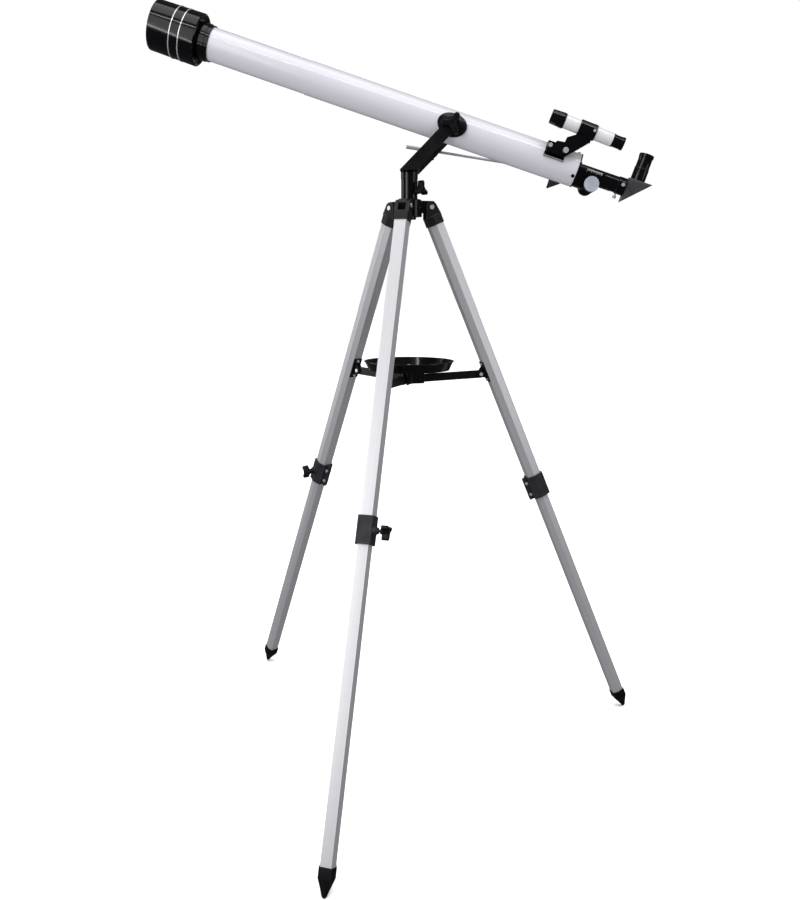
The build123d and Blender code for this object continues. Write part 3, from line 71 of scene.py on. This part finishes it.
# ---- materials ------------------------------------------------------------------------------------
DULL_SPECULAR = 0.3     # specular level of the blacks


class Finish:
    """A Principled material with helpers that add procedural detail in the object's own coordinates."""

    def __init__(self, name, colour, roughness, metallic=0.0, **sockets):
        self.material = bpy.data.materials.new(name)
        self.material.use_nodes = True
        self.tree = self.material.node_tree
        self.shader = self.tree.nodes["Principled BSDF"]
        self.colour = colour
        self.set(self.shader, {"Base Color": (*colour, 1.0), "Roughness": roughness, "Metallic": metallic})
        self.set(self.shader, {key.replace("_", " "): value for key, value in sockets.items()})
        texture = self.tree.nodes.new("ShaderNodeTexCoord")
        self.point = texture.outputs["Object"]
        self.bump_from = None

    def set(self, node, values):
        for key, value in values.items():
            node.inputs[key].default_value = value

    def node(self, kind, links=None, **values):
        made = self.tree.nodes.new("ShaderNode" + kind)
        for key, value in values.items():
            key = key.replace("_", " ")
            if key in made.inputs:
                made.inputs[key].default_value = value
            else:
                setattr(made, key.replace(" ", "_"), value)
        for key, source in (links or {}).items():
            self.tree.links.new(source, made.inputs[key])
        return made

    def aligned(self, axis, stretch):
        """Object coordinates turned so that Z runs along axis, then squeezed along it."""
        z = Vector(axis).normalized()
        turn = z.rotation_difference(Vector((0, 0, 1))).to_euler()
        turned = self.node("Mapping", {"Vector": self.point}, Rotation=turn)
        return self.node("Mapping", {"Vector": turned.outputs[0]}, Scale=(1, 1, stretch)).outputs[0]

    def noise(self, scale, detail=3.0, point=None, roughness=0.55):
        made = self.node("TexNoise", {"Vector": point or self.point},
                         Scale=scale, Detail=detail, Roughness=roughness)
        return made.outputs[0]

    def spread(self, source, low, high, start=0.3, end=0.7):
        made = self.node("MapRange", {"Value": source})
        for key, value in (("From Min", start), ("From Max", end), ("To Min", low), ("To Max", high)):
            made.inputs[key].default_value = value
        return made.outputs[0]

    def tint(self, source, other, start=0.35, end=0.65):
        """Base colour varies towards other where source is high."""
        mix = self.node("Mix", data_type="RGBA")
        self.tree.links.new(self.spread(source, 0.0, 1.0, start, end), mix.inputs[0])
        current = self.shader.inputs["Base Color"]
        if current.is_linked:
            self.tree.links.new(current.links[0].from_socket, mix.inputs[6])
        else:
            mix.inputs[6].default_value = (*self.colour, 1.0)
        mix.inputs[7].default_value = (*other, 1.0)
        self.tree.links.new(mix.outputs[2], current)
        return self

    def rough(self, source, low, high):
        self.tree.links.new(self.spread(source, low, high), self.shader.inputs["Roughness"])
        return self

    def bump(self, source, strength, distance):
        made = self.node("Bump", {"Height": source}, Strength=strength, Distance=distance)
        if self.bump_from is not None:
            self.tree.links.new(self.bump_from, made.inputs["Normal"])
        self.bump_from = made.outputs[0]
        self.tree.links.new(self.bump_from, self.shader.inputs["Normal"])
        return self

    def soft_edges(self, radius):
        """Small rounded edges that catch the light. It comes before any bump."""
        made = self.node("Bevel", samples=4, Radius=radius)
        self.bump_from = made.outputs[0]
        self.tree.links.new(self.bump_from, self.shader.inputs["Normal"])
        return self

    def worn_and_highlit_edges(self, radius, other, low=0.002, high=0.12):
        """Edges take the colour other: partly wear, as paint or moulding takes where it is rubbed, and
        partly a painted highlight along the rims.
        """
        bevel = self.node("Bevel", samples=6, Radius=radius)
        geometry = self.node("NewGeometry")
        dot = self.node("VectorMath", operation="DOT_PRODUCT")
        self.tree.links.new(bevel.outputs[0], dot.inputs[0])
        self.tree.links.new(geometry.outputs["Normal"], dot.inputs[1])
        away = self.node("Math", operation="SUBTRACT")
        away.inputs[0].default_value = 1.0
        self.tree.links.new(dot.outputs["Value"], away.inputs[1])
        return self.tint(away.outputs[0], other, low, high)


def white_paint(name, colour):
    finish = Finish(name, colour, 0.16, Coat_Weight=0.6, Coat_Roughness=0.04)
    finish.soft_edges(0.0006)
    finish.tint(finish.noise(5.0, 4.0), tuple(0.972 * c for c in colour))
    finish.tint(finish.noise(420.0, 2.0), tuple(0.945 * c for c in colour), 0.62, 0.9)
    finish.rough(finish.noise(38.0, 5.0), 0.13, 0.21)
    return finish.bump(finish.noise(260.0, 2.0), 0.12, 0.0004).material


def black_plastic(name, roughness, grain, colour=(0.002, 0.002, 0.003), edge=(0.02, 0.02, 0.022), coat=0.0):
    finish = Finish(name, colour, roughness, Coat_Weight=coat, Coat_Roughness=0.06,
                    Specular_IOR_Level=DULL_SPECULAR)
    finish.soft_edges(0.0006)
    finish.tint(finish.noise(24.0, 5.0), tuple(1.7 * c for c in colour))
    # lighter edges: partly wear, partly a painted highlight along the rims
    finish.worn_and_highlit_edges(0.0007, edge)
    finish.rough(finish.noise(60.0, 6.0), roughness * 0.8, roughness * 1.3)
    return finish.bump(finish.noise(grain, 3.0), 0.25, 0.00012).material


def black_paint(name):
    finish = Finish(name, (0.004, 0.004, 0.005), 0.34, Coat_Weight=0.15, Coat_Roughness=0.18,
                    Specular_IOR_Level=DULL_SPECULAR)
    finish.soft_edges(0.0007)
    finish.tint(finish.noise(30.0, 5.0), (0.007, 0.007, 0.008))
    finish.worn_and_highlit_edges(0.0006, (0.05, 0.05, 0.053))
    finish.rough(finish.noise(90.0, 5.0), 0.26, 0.42)
    return finish.bump(finish.noise(900.0, 3.0), 0.3, 0.00015).material


def bright_metal(name, colour, roughness, axis=(0, 0, 1), brushed=0.3, metallic=1.0):
    finish = Finish(name, colour, roughness, metallic=metallic)
    finish.soft_edges(0.0004)
    streaks = finish.noise(1400.0, 3.0, finish.aligned(axis, 0.03))
    finish.tint(finish.noise(80.0, 4.0), tuple(0.82 * c for c in colour))
    finish.rough(finish.noise(160.0, 4.0), roughness * 0.75, roughness * 1.5)
    return finish.bump(streaks, brushed, 0.00004).material


def anodised(name, axis, colour=(0.80, 0.79, 0.825)):
    """Extruded, satin anodised aluminium with die lines along the leg."""
    finish = Finish(name, colour, 0.36, metallic=0.55)
    finish.soft_edges(0.0008)
    lines = finish.noise(700.0, 4.0, finish.aligned(axis, 0.0012))
    broad = finish.noise(120.0, 3.0, finish.aligned(axis, 0.004))
    speck = finish.noise(2200.0, 2.0)
    finish.tint(lines, tuple(0.90 * c for c in colour), 0.38, 0.75)
    finish.tint(broad, tuple(0.93 * c for c in colour), 0.4, 0.7)
    finish.rough(broad, 0.32, 0.46)
    finish.bump(lines, 0.22, 0.00006)
    return finish.bump(speck, 0.12, 0.00004).material


def coated_glass(name, tint):
    finish = Finish(name, (0.97, 0.99, 0.98), 0.01, Transmission_Weight=1.0, IOR=1.52,
                    Coat_Weight=1.0, Coat_Roughness=0.02)
    finish.set(finish.shader, {"Coat Tint": (*tint, 1.0)})
    finish.rough(finish.noise(220.0, 3.0), 0.005, 0.02)
    return finish.bump(finish.noise(12.0, 1.0), 0.02, 0.0002).material


def white_print(name):
    finish = Finish(name, (0.86, 0.86, 0.88), 0.45)
    finish.tint(finish.noise(3000.0, 3.0), (0.66, 0.66, 0.68), 0.55, 0.8)
    finish.rough(finish.noise(1500.0, 3.0), 0.38, 0.55)
    return finish.bump(finish.noise(4000.0, 2.0), 0.2, 0.00002).material


def dusty_black(name):
    """Flat black inside the tube and the bore of the dew shield."""
    finish = Finish(name, (0.010, 0.010, 0.011), 0.75)
    finish.tint(finish.noise(300.0, 4.0), (0.02, 0.02, 0.021))
    finish.rough(finish.noise(200.0, 4.0), 0.65, 0.9)
    return finish.bump(finish.noise(1800.0, 2.0), 0.4, 0.0001).material


tube_axis = TUBE.to_3x3() @ Vector((1, 0, 0))
WHITE = white_paint("white_gloss_paint", (0.83, 0.82, 0.89))
FINDER_WHITE = white_paint("finder_gloss_paint", (0.90, 0.895, 0.94))
GLOSS_BLACK = black_plastic("black_gloss_plastic", 0.13, 500.0, coat=0.35)
SATIN_BLACK = black_plastic("black_satin_plastic", 0.36, 1600.0, edge=(0.04, 0.04, 0.043))
# its light edge colour is a painted highlight along the socket rims
SOCKET_BLACK = black_plastic("socket_plastic", 0.36, 1800.0, (0.009, 0.009, 0.010), (0.18, 0.18, 0.19))
SLATE = black_plastic("clamp_plastic", 0.40, 1500.0, (0.022, 0.021, 0.026), (0.12, 0.12, 0.13))
DIAGONAL_GREY = black_plastic("diagonal_plastic", 0.34, 1400.0, (0.040, 0.040, 0.045), (0.30, 0.30, 0.31))
FOOT_BLACK = black_plastic("foot_plastic", 0.45, 1300.0, (0.003, 0.003, 0.004), (0.06, 0.06, 0.063))
BLACK_PAINT = black_paint("black_satin_paint")
DARK_METAL = bright_metal("dark_metal", (0.10, 0.10, 0.11), 0.35, tube_axis)
BLACK_SCREW = bright_metal("black_screw", (0.05, 0.05, 0.055), 0.30)
CHROME = bright_metal("chrome", (0.92, 0.92, 0.94), 0.16, metallic=0.55)
BRUSHED_ROD = bright_metal("brushed_rod", (0.80, 0.80, 0.82), 0.26, tube_axis, 0.5, metallic=0.5)
SILVER = bright_metal("silver_trim", (0.92, 0.92, 0.95), 0.20, tube_axis, metallic=0.6)
CAP_SILVER = bright_metal("focus_cap", (0.78, 0.79, 0.93), 0.24, (0, 1, 0), metallic=0.35)
GLASS = coated_glass("coated_glass", (0.80, 0.86, 1.0))
PRINT = white_print("white_print")
INNER_BLACK = dusty_black("inner_black")
LEG_METAL = {leg: anodised("anodised_" + leg, leg_axis[leg]) for leg in LEGS}

CAD_FINISH = {
    "front_tube": WHITE, "rear_tube": WHITE, "finder_tube": FINDER_WHITE,
    "dew_shield": GLOSS_BLACK, "objective_cell": GLOSS_BLACK, "objective_lens": GLASS,
    "focuser_body": GLOSS_BLACK, "drawtube": GLOSS_BLACK, "drawtube_thumbscrews": CHROME,
    "focus_shaft": CAP_SILVER, "focus_knobs": GLOSS_BLACK,
    "diagonal_housing": DIAGONAL_GREY, "diagonal_prism": GLASS,
    "eyepiece": GLOSS_BLACK, "eyepiece_lens": GLASS,
    "finder_bracket": GLOSS_BLACK, "finder_ends": GLOSS_BLACK, "finder_screws": CHROME,
    "trunnion_saddles": BLACK_PAINT, "tube_screws": BLACK_SCREW, "rod_bracket": DARK_METAL,
    "fork": BLACK_PAINT, "azimuth_post": GLOSS_BLACK, "rod_clamp": BLACK_PAINT,
    "altitude_rod": BRUSHED_ROD,
    "altitude_knob_near": SATIN_BLACK, "altitude_knob_far": SATIN_BLACK, "azimuth_lock_knob": SATIN_BLACK,
    "tripod_hub": GLOSS_BLACK, "leg_hinge_pins": CHROME,
    "spreader_hub": BLACK_PAINT, "tray": GLOSS_BLACK, "tray_screw": GLOSS_BLACK,
}
for leg in LEGS:
    CAD_FINISH.update({
        "leg_socket_" + leg: SOCKET_BLACK, "upper_leg_" + leg: LEG_METAL[leg],
        "lower_leg_" + leg: LEG_METAL[leg], "leg_clamp_" + leg: SLATE,
        "clamp_knob_" + leg: SATIN_BLACK, "foot_" + leg: FOOT_BLACK,
        "leg_fasteners_" + leg: CHROME, "spreader_bracket_" + leg: SATIN_BLACK,
        "spreader_arm_" + leg: BLACK_PAINT,
    })
for name, material in CAD_FINISH.items():
    data = nodes[name].data
    if data.materials:
        for index in range(len(data.materials)):
            data.materials[index] = material
    else:
        data.materials.append(material)


# ---- shading of the CAD nodes ---------------------------------------------------------------------
def smoothing_group():
    """Geometry nodes that merge split corners and shade smooth except over real edges."""
    group = bpy.data.node_groups.new("smooth_by_angle", "GeometryNodeTree")
    group.interface.new_socket("Geometry", in_out="INPUT", socket_type="NodeSocketGeometry")
    group.interface.new_socket("Geometry", in_out="OUTPUT", socket_type="NodeSocketGeometry")
    make = group.nodes.new
    start, end = make("NodeGroupInput"), make("NodeGroupOutput")
    merge = make("GeometryNodeMergeByDistance")
    merge.inputs["Distance"].default_value = 0.00001
    smooth_faces = make("GeometryNodeSetShadeSmooth")
    smooth_faces.domain = "FACE"
    sharp = make("GeometryNodeSetShadeSmooth")
    sharp.domain = "EDGE"
    angle = make("GeometryNodeInputMeshEdgeAngle")
    less = make("FunctionNodeCompare")
    less.operation = "LESS_EQUAL"
    less.inputs[1].default_value = math.radians(32)
    link = group.links.new
    link(start.outputs[0], merge.inputs["Geometry"])
    link(merge.outputs[0], smooth_faces.inputs["Geometry"])
    link(smooth_faces.outputs[0], sharp.inputs["Geometry"])
    link(angle.outputs["Unsigned Angle"], less.inputs[0])
    link(less.outputs[0], sharp.inputs["Shade Smooth"])
    link(sharp.outputs[0], end.inputs[0])
    return group


SMOOTHING = smoothing_group()
for piece in nodes.values():
    piece.modifiers.new("smooth", "NODES").node_group = SMOOTHING


# ---- mesh tools -----------------------------------------------------------------------------------
def add_piece(name, mesh, material, body, place=Matrix.Identity(4)):
    piece = bpy.data.objects.new(name, mesh)
    bpy.context.scene.collection.objects.link(piece)
    mesh.transform(place)
    mesh.materials.append(material)
    for polygon in mesh.polygons:
        polygon.use_smooth = True
    mesh.set_sharp_from_angle(angle=math.radians(35))
    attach(piece, body)
    return piece


def turned_mesh(name, profile, segments=96, closed=True):
    """A mesh turned about X from (x, radius) points."""
    mesh = bpy.data.meshes.new(name)
    made = bmesh.new()
    rings = []
    for x, radius in profile:
        if radius < 1e-7:
            rings.append([made.verts.new((x, 0, 0))])
            continue
        ring = []
        for i in range(segments):
            angle = 2 * math.pi * i / segments
            ring.append(made.verts.new((x, radius * math.cos(angle), radius * math.sin(angle))))
        rings.append(ring)
    pairs = list(zip(rings, rings[1:]))
    if closed:
        pairs.append((rings[-1], rings[0]))
    for one, two in pairs:
        for i in range(segments):
            j = (i + 1) % segments
            if len(one) == 1 and len(two) == 1:
                continue
            if len(one) == 1:
                made.faces.new((one[0], two[i], two[j]))
            elif len(two) == 1:
                made.faces.new((one[i], two[0], one[j]))
            else:
                made.faces.new((one[i], two[i], two[j], one[j]))
    bmesh.ops.recalc_face_normals(made, faces=made.faces)
    made.to_mesh(mesh)
    made.free()
    return mesh


def rounded(points, radius, steps=4):
    """A closed outline with its corners rounded."""
    out = []
    count = len(points)
    for i, point in enumerate(points):
        here = Vector(point)
        before = (Vector(points[i - 1]) - here)
        after = (Vector(points[(i + 1) % count]) - here)
        cut = min(radius, before.length / 2, after.length / 2)
        one, two = here + before.normalized() * cut, here + after.normalized() * cut
        for k in range(steps + 1):
            t = k / steps
            out.append(tuple((1 - t) ** 2 * one + 2 * t * (1 - t) * here + t * t * two))
    return out


# ---- bands on the dew shield ----------------------------------------------------------------------
dew_low, dew_high = node_span("dew_shield", TUBE)
dew_radius = dew_high.z
BAND_WIDTH, BAND_PROUD, BAND_SUNK = 2.2 * MM, 0.3 * MM, 0.8 * MM
BAND_OFFSETS = (45 * MM, 64 * MM)       # from the front of the dew shield
for index, offset in enumerate(BAND_OFFSETS):
    x = dew_low.x + offset
    outline = rounded([(x, dew_radius - BAND_SUNK), (x, dew_radius + BAND_PROUD),
                       (x + BAND_WIDTH, dew_radius + BAND_PROUD), (x + BAND_WIDTH, dew_radius - BAND_SUNK)],
                      BAND_PROUD)
    add_piece("dew_band_%d" % (index + 1), turned_mesh("dew_band", outline, 160), SILVER,
              "tube", TUBE)

# ---- sleeve of the diagonal's eyepiece holder -----------------------------------------------------
def about_z(place, x):
    """A frame whose X runs along the Z axis of place, at x along it."""
    return place @ Matrix.Translation((x, 0, 0)) @ Matrix.Rotation(math.radians(-90), 4, "Y")


HOLDER_RADIUS, SLEEVE_LENGTH, SLEEVE_BELOW_TOP = 14.6 * MM, 23.7 * MM, 0.2 * MM
SLEEVE_PROUD, SLEEVE_SUNK = 0.2 * MM, 0.3 * MM
eye_low, eye_high = node_span("eyepiece", TUBE)
eye_axis = (eye_low.x + eye_high.x) / 2
sleeve_high = node_span("diagonal_housing", TUBE)[1].z - SLEEVE_BELOW_TOP
sleeve_low = sleeve_high - SLEEVE_LENGTH
sleeve = rounded([(sleeve_low, HOLDER_RADIUS - SLEEVE_SUNK), (sleeve_low, HOLDER_RADIUS + SLEEVE_PROUD),
                  (sleeve_high, HOLDER_RADIUS + SLEEVE_PROUD), (sleeve_high, HOLDER_RADIUS - SLEEVE_SUNK)],
                 0.12 * MM)
add_piece("holder_sleeve", turned_mesh("holder_sleeve", sleeve, 128), GLOSS_BLACK,
          "star_diagonal", about_z(TUBE, eye_axis))

# ---- graduation marks on the drawtube -------------------------------------------------------------
SUNK = 0.1 * MM             # depth of a bar below the surface that carries it
MARK_PROUD = 0.006 * MM
MARK_WIDTH = 0.35 * MM
MARKS = 33                  # a millimetre apart
MARK_ROLL = 58              # from the top of the tube towards the near side, in degrees
DRAW_RADIUS = 16 * MM
SCALE_BEHIND_TUBE = 20 * MM


def curved_bar(made, x0, x1, radius, proud, roll0, roll1, steps=24):
    """A thin closed bar lying on a cylinder about X, between two roll angles from the top."""
    rings = []
    for i in range(steps + 1):
        roll = math.radians(roll0 + (roll1 - roll0) * i / steps)
        corners = []
        for x, r in ((x0, radius - SUNK), (x1, radius - SUNK), (x1, radius + proud), (x0, radius + proud)):
            corners.append(made.verts.new((x, -r * math.sin(roll), r * math.cos(roll))))
        rings.append(corners)
    for one, two in zip(rings, rings[1:]):
        for i in range(4):
            j = (i + 1) % 4
            made.faces.new((one[i], one[j], two[j], two[i]))
    made.faces.new(rings[0])
    made.faces.new(reversed(rings[-1]))


def curved_bars(name, bars):
    mesh = bpy.data.meshes.new(name)
    made = bmesh.new()
    for bar in bars:
        curved_bar(made, *bar)
    bmesh.ops.recalc_face_normals(made, faces=made.faces)
    made.to_mesh(mesh)
    made.free()
    return mesh


tube_end = node_span("rear_tube", TUBE)[1].x
scale_start = tube_end + SCALE_BEHIND_TUBE
marks = []
for index in range(MARKS):
    x = scale_start + index * MM
    reach = 22 if index % 10 == 0 else 17 if index % 5 == 0 else 12
    marks.append((x, x + MARK_WIDTH, DRAW_RADIUS, MARK_PROUD, MARK_ROLL, MARK_ROLL + reach))
scale_end = scale_start + (MARKS - 1) * MM + MARK_WIDTH
marks.append((scale_start, scale_end, DRAW_RADIUS, MARK_PROUD, MARK_ROLL - 1.5, MARK_ROLL + 0.5))
add_piece("drawtube_scale", curved_bars("drawtube_scale", marks), PRINT,
          "focuser_drawtube", TUBE)

# ---- bright edge of the finder's foot -------------------------------------------------------------
FOOT_BEFORE_END = 74.5 * MM
foot_front = tube_end - FOOT_BEFORE_END
TRIM_LENGTH, TRIM_INSET, TRIM_PROUD = 39.8 * MM, 0.6 * MM, 0.15 * MM
FOOT_RADIUS = 36 * MM
trim_start = foot_front + TRIM_INSET
trim = [(trim_start, trim_start + TRIM_LENGTH, FOOT_RADIUS, TRIM_PROUD, 83.5, 87.0)]
add_piece("finder_foot_trim", curved_bars("finder_foot_trim", trim), SILVER, "tube", TUBE)

# ---- finder lenses --------------------------------------------------------------------------------
finder_low, finder_high = node_span("finder_tube", TUBE)
FINDER_DROOP = math.radians(2.2)
FINDER = (TUBE @ Matrix.Translation((finder_low + finder_high) / 2)) @ Matrix.Rotation(FINDER_DROOP, 4, "Y")
finder_middle = -9.75 * MM      # middle of the finder's tube from the middle of its ring


def lens_profile(x, radius, bulge, thickness, steps=10):
    front = [(x - bulge * (1 - (i / steps) ** 2), radius * i / steps) for i in range(steps + 1)]
    return front + [(x + thickness, radius), (x + thickness, 0.0)]


for name, x, radius, bulge in (("finder_objective", -69.0, 11.9, 1.6), ("finder_eye_lens", 72.0, 6.9, -0.9)):
    profile = lens_profile(x * MM - finder_middle, radius * MM, bulge * MM, 2.2 * MM)
    add_piece(name, turned_mesh(name, profile, 96, closed=False), GLASS, "tube", FINDER)

# ---- flat black lining of the dew shield ----------------------------------------------------------
DEW_FLARE, DEW_WALL = 1.6 * MM, 2.0 * MM
LINING_THICKNESS, LINING_SUNK = 0.25 * MM, 0.2 * MM
lining_start, lining_end = dew_low.x + 22 * MM, dew_low.x + 80 * MM
bore_radius = dew_radius - DEW_FLARE - DEW_WALL
lining = [(lining_start, bore_radius - LINING_THICKNESS), (lining_start, bore_radius + LINING_SUNK),
          (lining_end, bore_radius + LINING_SUNK), (lining_end, bore_radius - LINING_THICKNESS)]
add_piece("dew_shield_lining", turned_mesh("dew_shield_lining", lining, 128), INNER_BLACK, "tube",
          TUBE)

# ---- floor, light, camera -------------------------------------------------------------------------
bpy.ops.mesh.primitive_plane_add(size=60, location=(0, 0, -0.0005))
floor = bpy.context.object
floor.name = "floor"
floor_finish = Finish("floor_paper", (0.93, 0.93, 0.93), 0.9)
floor_finish.tint(floor_finish.noise(1.5, 3.0), (0.92, 0.92, 0.922))
floor.data.materials.append(floor_finish.material)
floor.visible_glossy = False
floor.visible_diffuse = False


def panel(name, location, target, size, radiance):
    """A softbox whose face has the given radiance."""
    light = bpy.data.lights.new(name, "AREA")
    light.shape = "RECTANGLE"
    light.size, light.size_y = size
    light.energy = radiance * math.pi * size[0] * size[1]
    made = bpy.data.objects.new(name, light)
    made.location = location
    made.rotation_euler = (Vector(target) - Vector(location)).to_track_quat("-Z", "Y").to_euler()
    bpy.context.scene.collection.objects.link(made)


panel("front_left", (-2.3, -3.3, 2.1), (0, 0, 0.9), (2.6, 3.0), 1.35)
panel("top", (0.0, -0.7, 3.9), (0, 0, 0.8), (3.4, 2.0), 1.5)
panel("left", (-3.6, 0.6, 1.5), (0, 0, 0.9), (1.6, 2.6), 1.3)
panel("right", (3.8, -1.6, 1.7), (0, 0, 0.9), (1.4, 2.6), 1.1)
panel("back", (0.6, 3.6, 2.6), (0, 0, 1.0), (2.4, 1.4), 0.9)
panel("strip", (0.5, -1.4, 3.1), (0, 0, 1.3), (4.2, 0.10), 10.0)
panel("upright", (-1.7, -2.2, 1.5), (0, 0, 1.2), (0.12, 2.2), 8.0)

sun_data = bpy.data.lights.new("floor_light", "SUN")
sun_data.energy = 3.4
sun_data.angle = math.radians(70)
sun = bpy.data.objects.new("floor_light", sun_data)
bpy.context.scene.collection.objects.link(sun)
only_floor = bpy.data.collections.new("only_floor")
only_floor.objects.link(floor)
sun.light_linking.receiver_collection = only_floor

world = bpy.data.worlds.new("studio")
bpy.context.scene.world = world
world.use_nodes = True
tree = world.node_tree
tree.nodes.clear()
out = tree.nodes.new("ShaderNodeOutputWorld")
path = tree.nodes.new("ShaderNodeLightPath")
seen, lit, dim = (tree.nodes.new("ShaderNodeBackground") for _ in range(3))
mix, glossy_mix = (tree.nodes.new("ShaderNodeMixShader") for _ in range(2))
seen.inputs["Color"].default_value = (1.0, 1.0, 1.0, 1.0)
seen.inputs["Strength"].default_value = 1.02
lit.inputs["Color"].default_value = (0.98, 0.98, 1.0, 1.0)
lit.inputs["Strength"].default_value = 0.48
dim.inputs["Color"].default_value = (0.96, 0.97, 1.0, 1.0)
dim.inputs["Strength"].default_value = 0.06
tree.links.new(path.outputs["Is Camera Ray"], mix.inputs[0])
tree.links.new(path.outputs["Is Glossy Ray"], glossy_mix.inputs[0])
tree.links.new(lit.outputs[0], glossy_mix.inputs[1])
tree.links.new(dim.outputs[0], glossy_mix.inputs[2])
tree.links.new(glossy_mix.outputs[0], mix.inputs[1])
tree.links.new(seen.outputs[0], mix.inputs[2])
tree.links.new(mix.outputs[0], out.inputs["Surface"])
bpy.context.scene.view_settings.view_transform = "Standard"

camera_data = bpy.data.cameras.new("camera")
camera = bpy.data.objects.new("camera", camera_data)
bpy.context.scene.collection.objects.link(camera)
camera.location = (0.075376, -1.798421, 1.035516)
camera.rotation_euler = (math.radians(78.694), 0.0, math.radians(3.01))
camera_data.sensor_width = 36.0
camera_data.sensor_fit = "AUTO"
camera_data.lens = 33.724
camera_data.clip_end = 200.0
bpy.context.scene.camera = camera
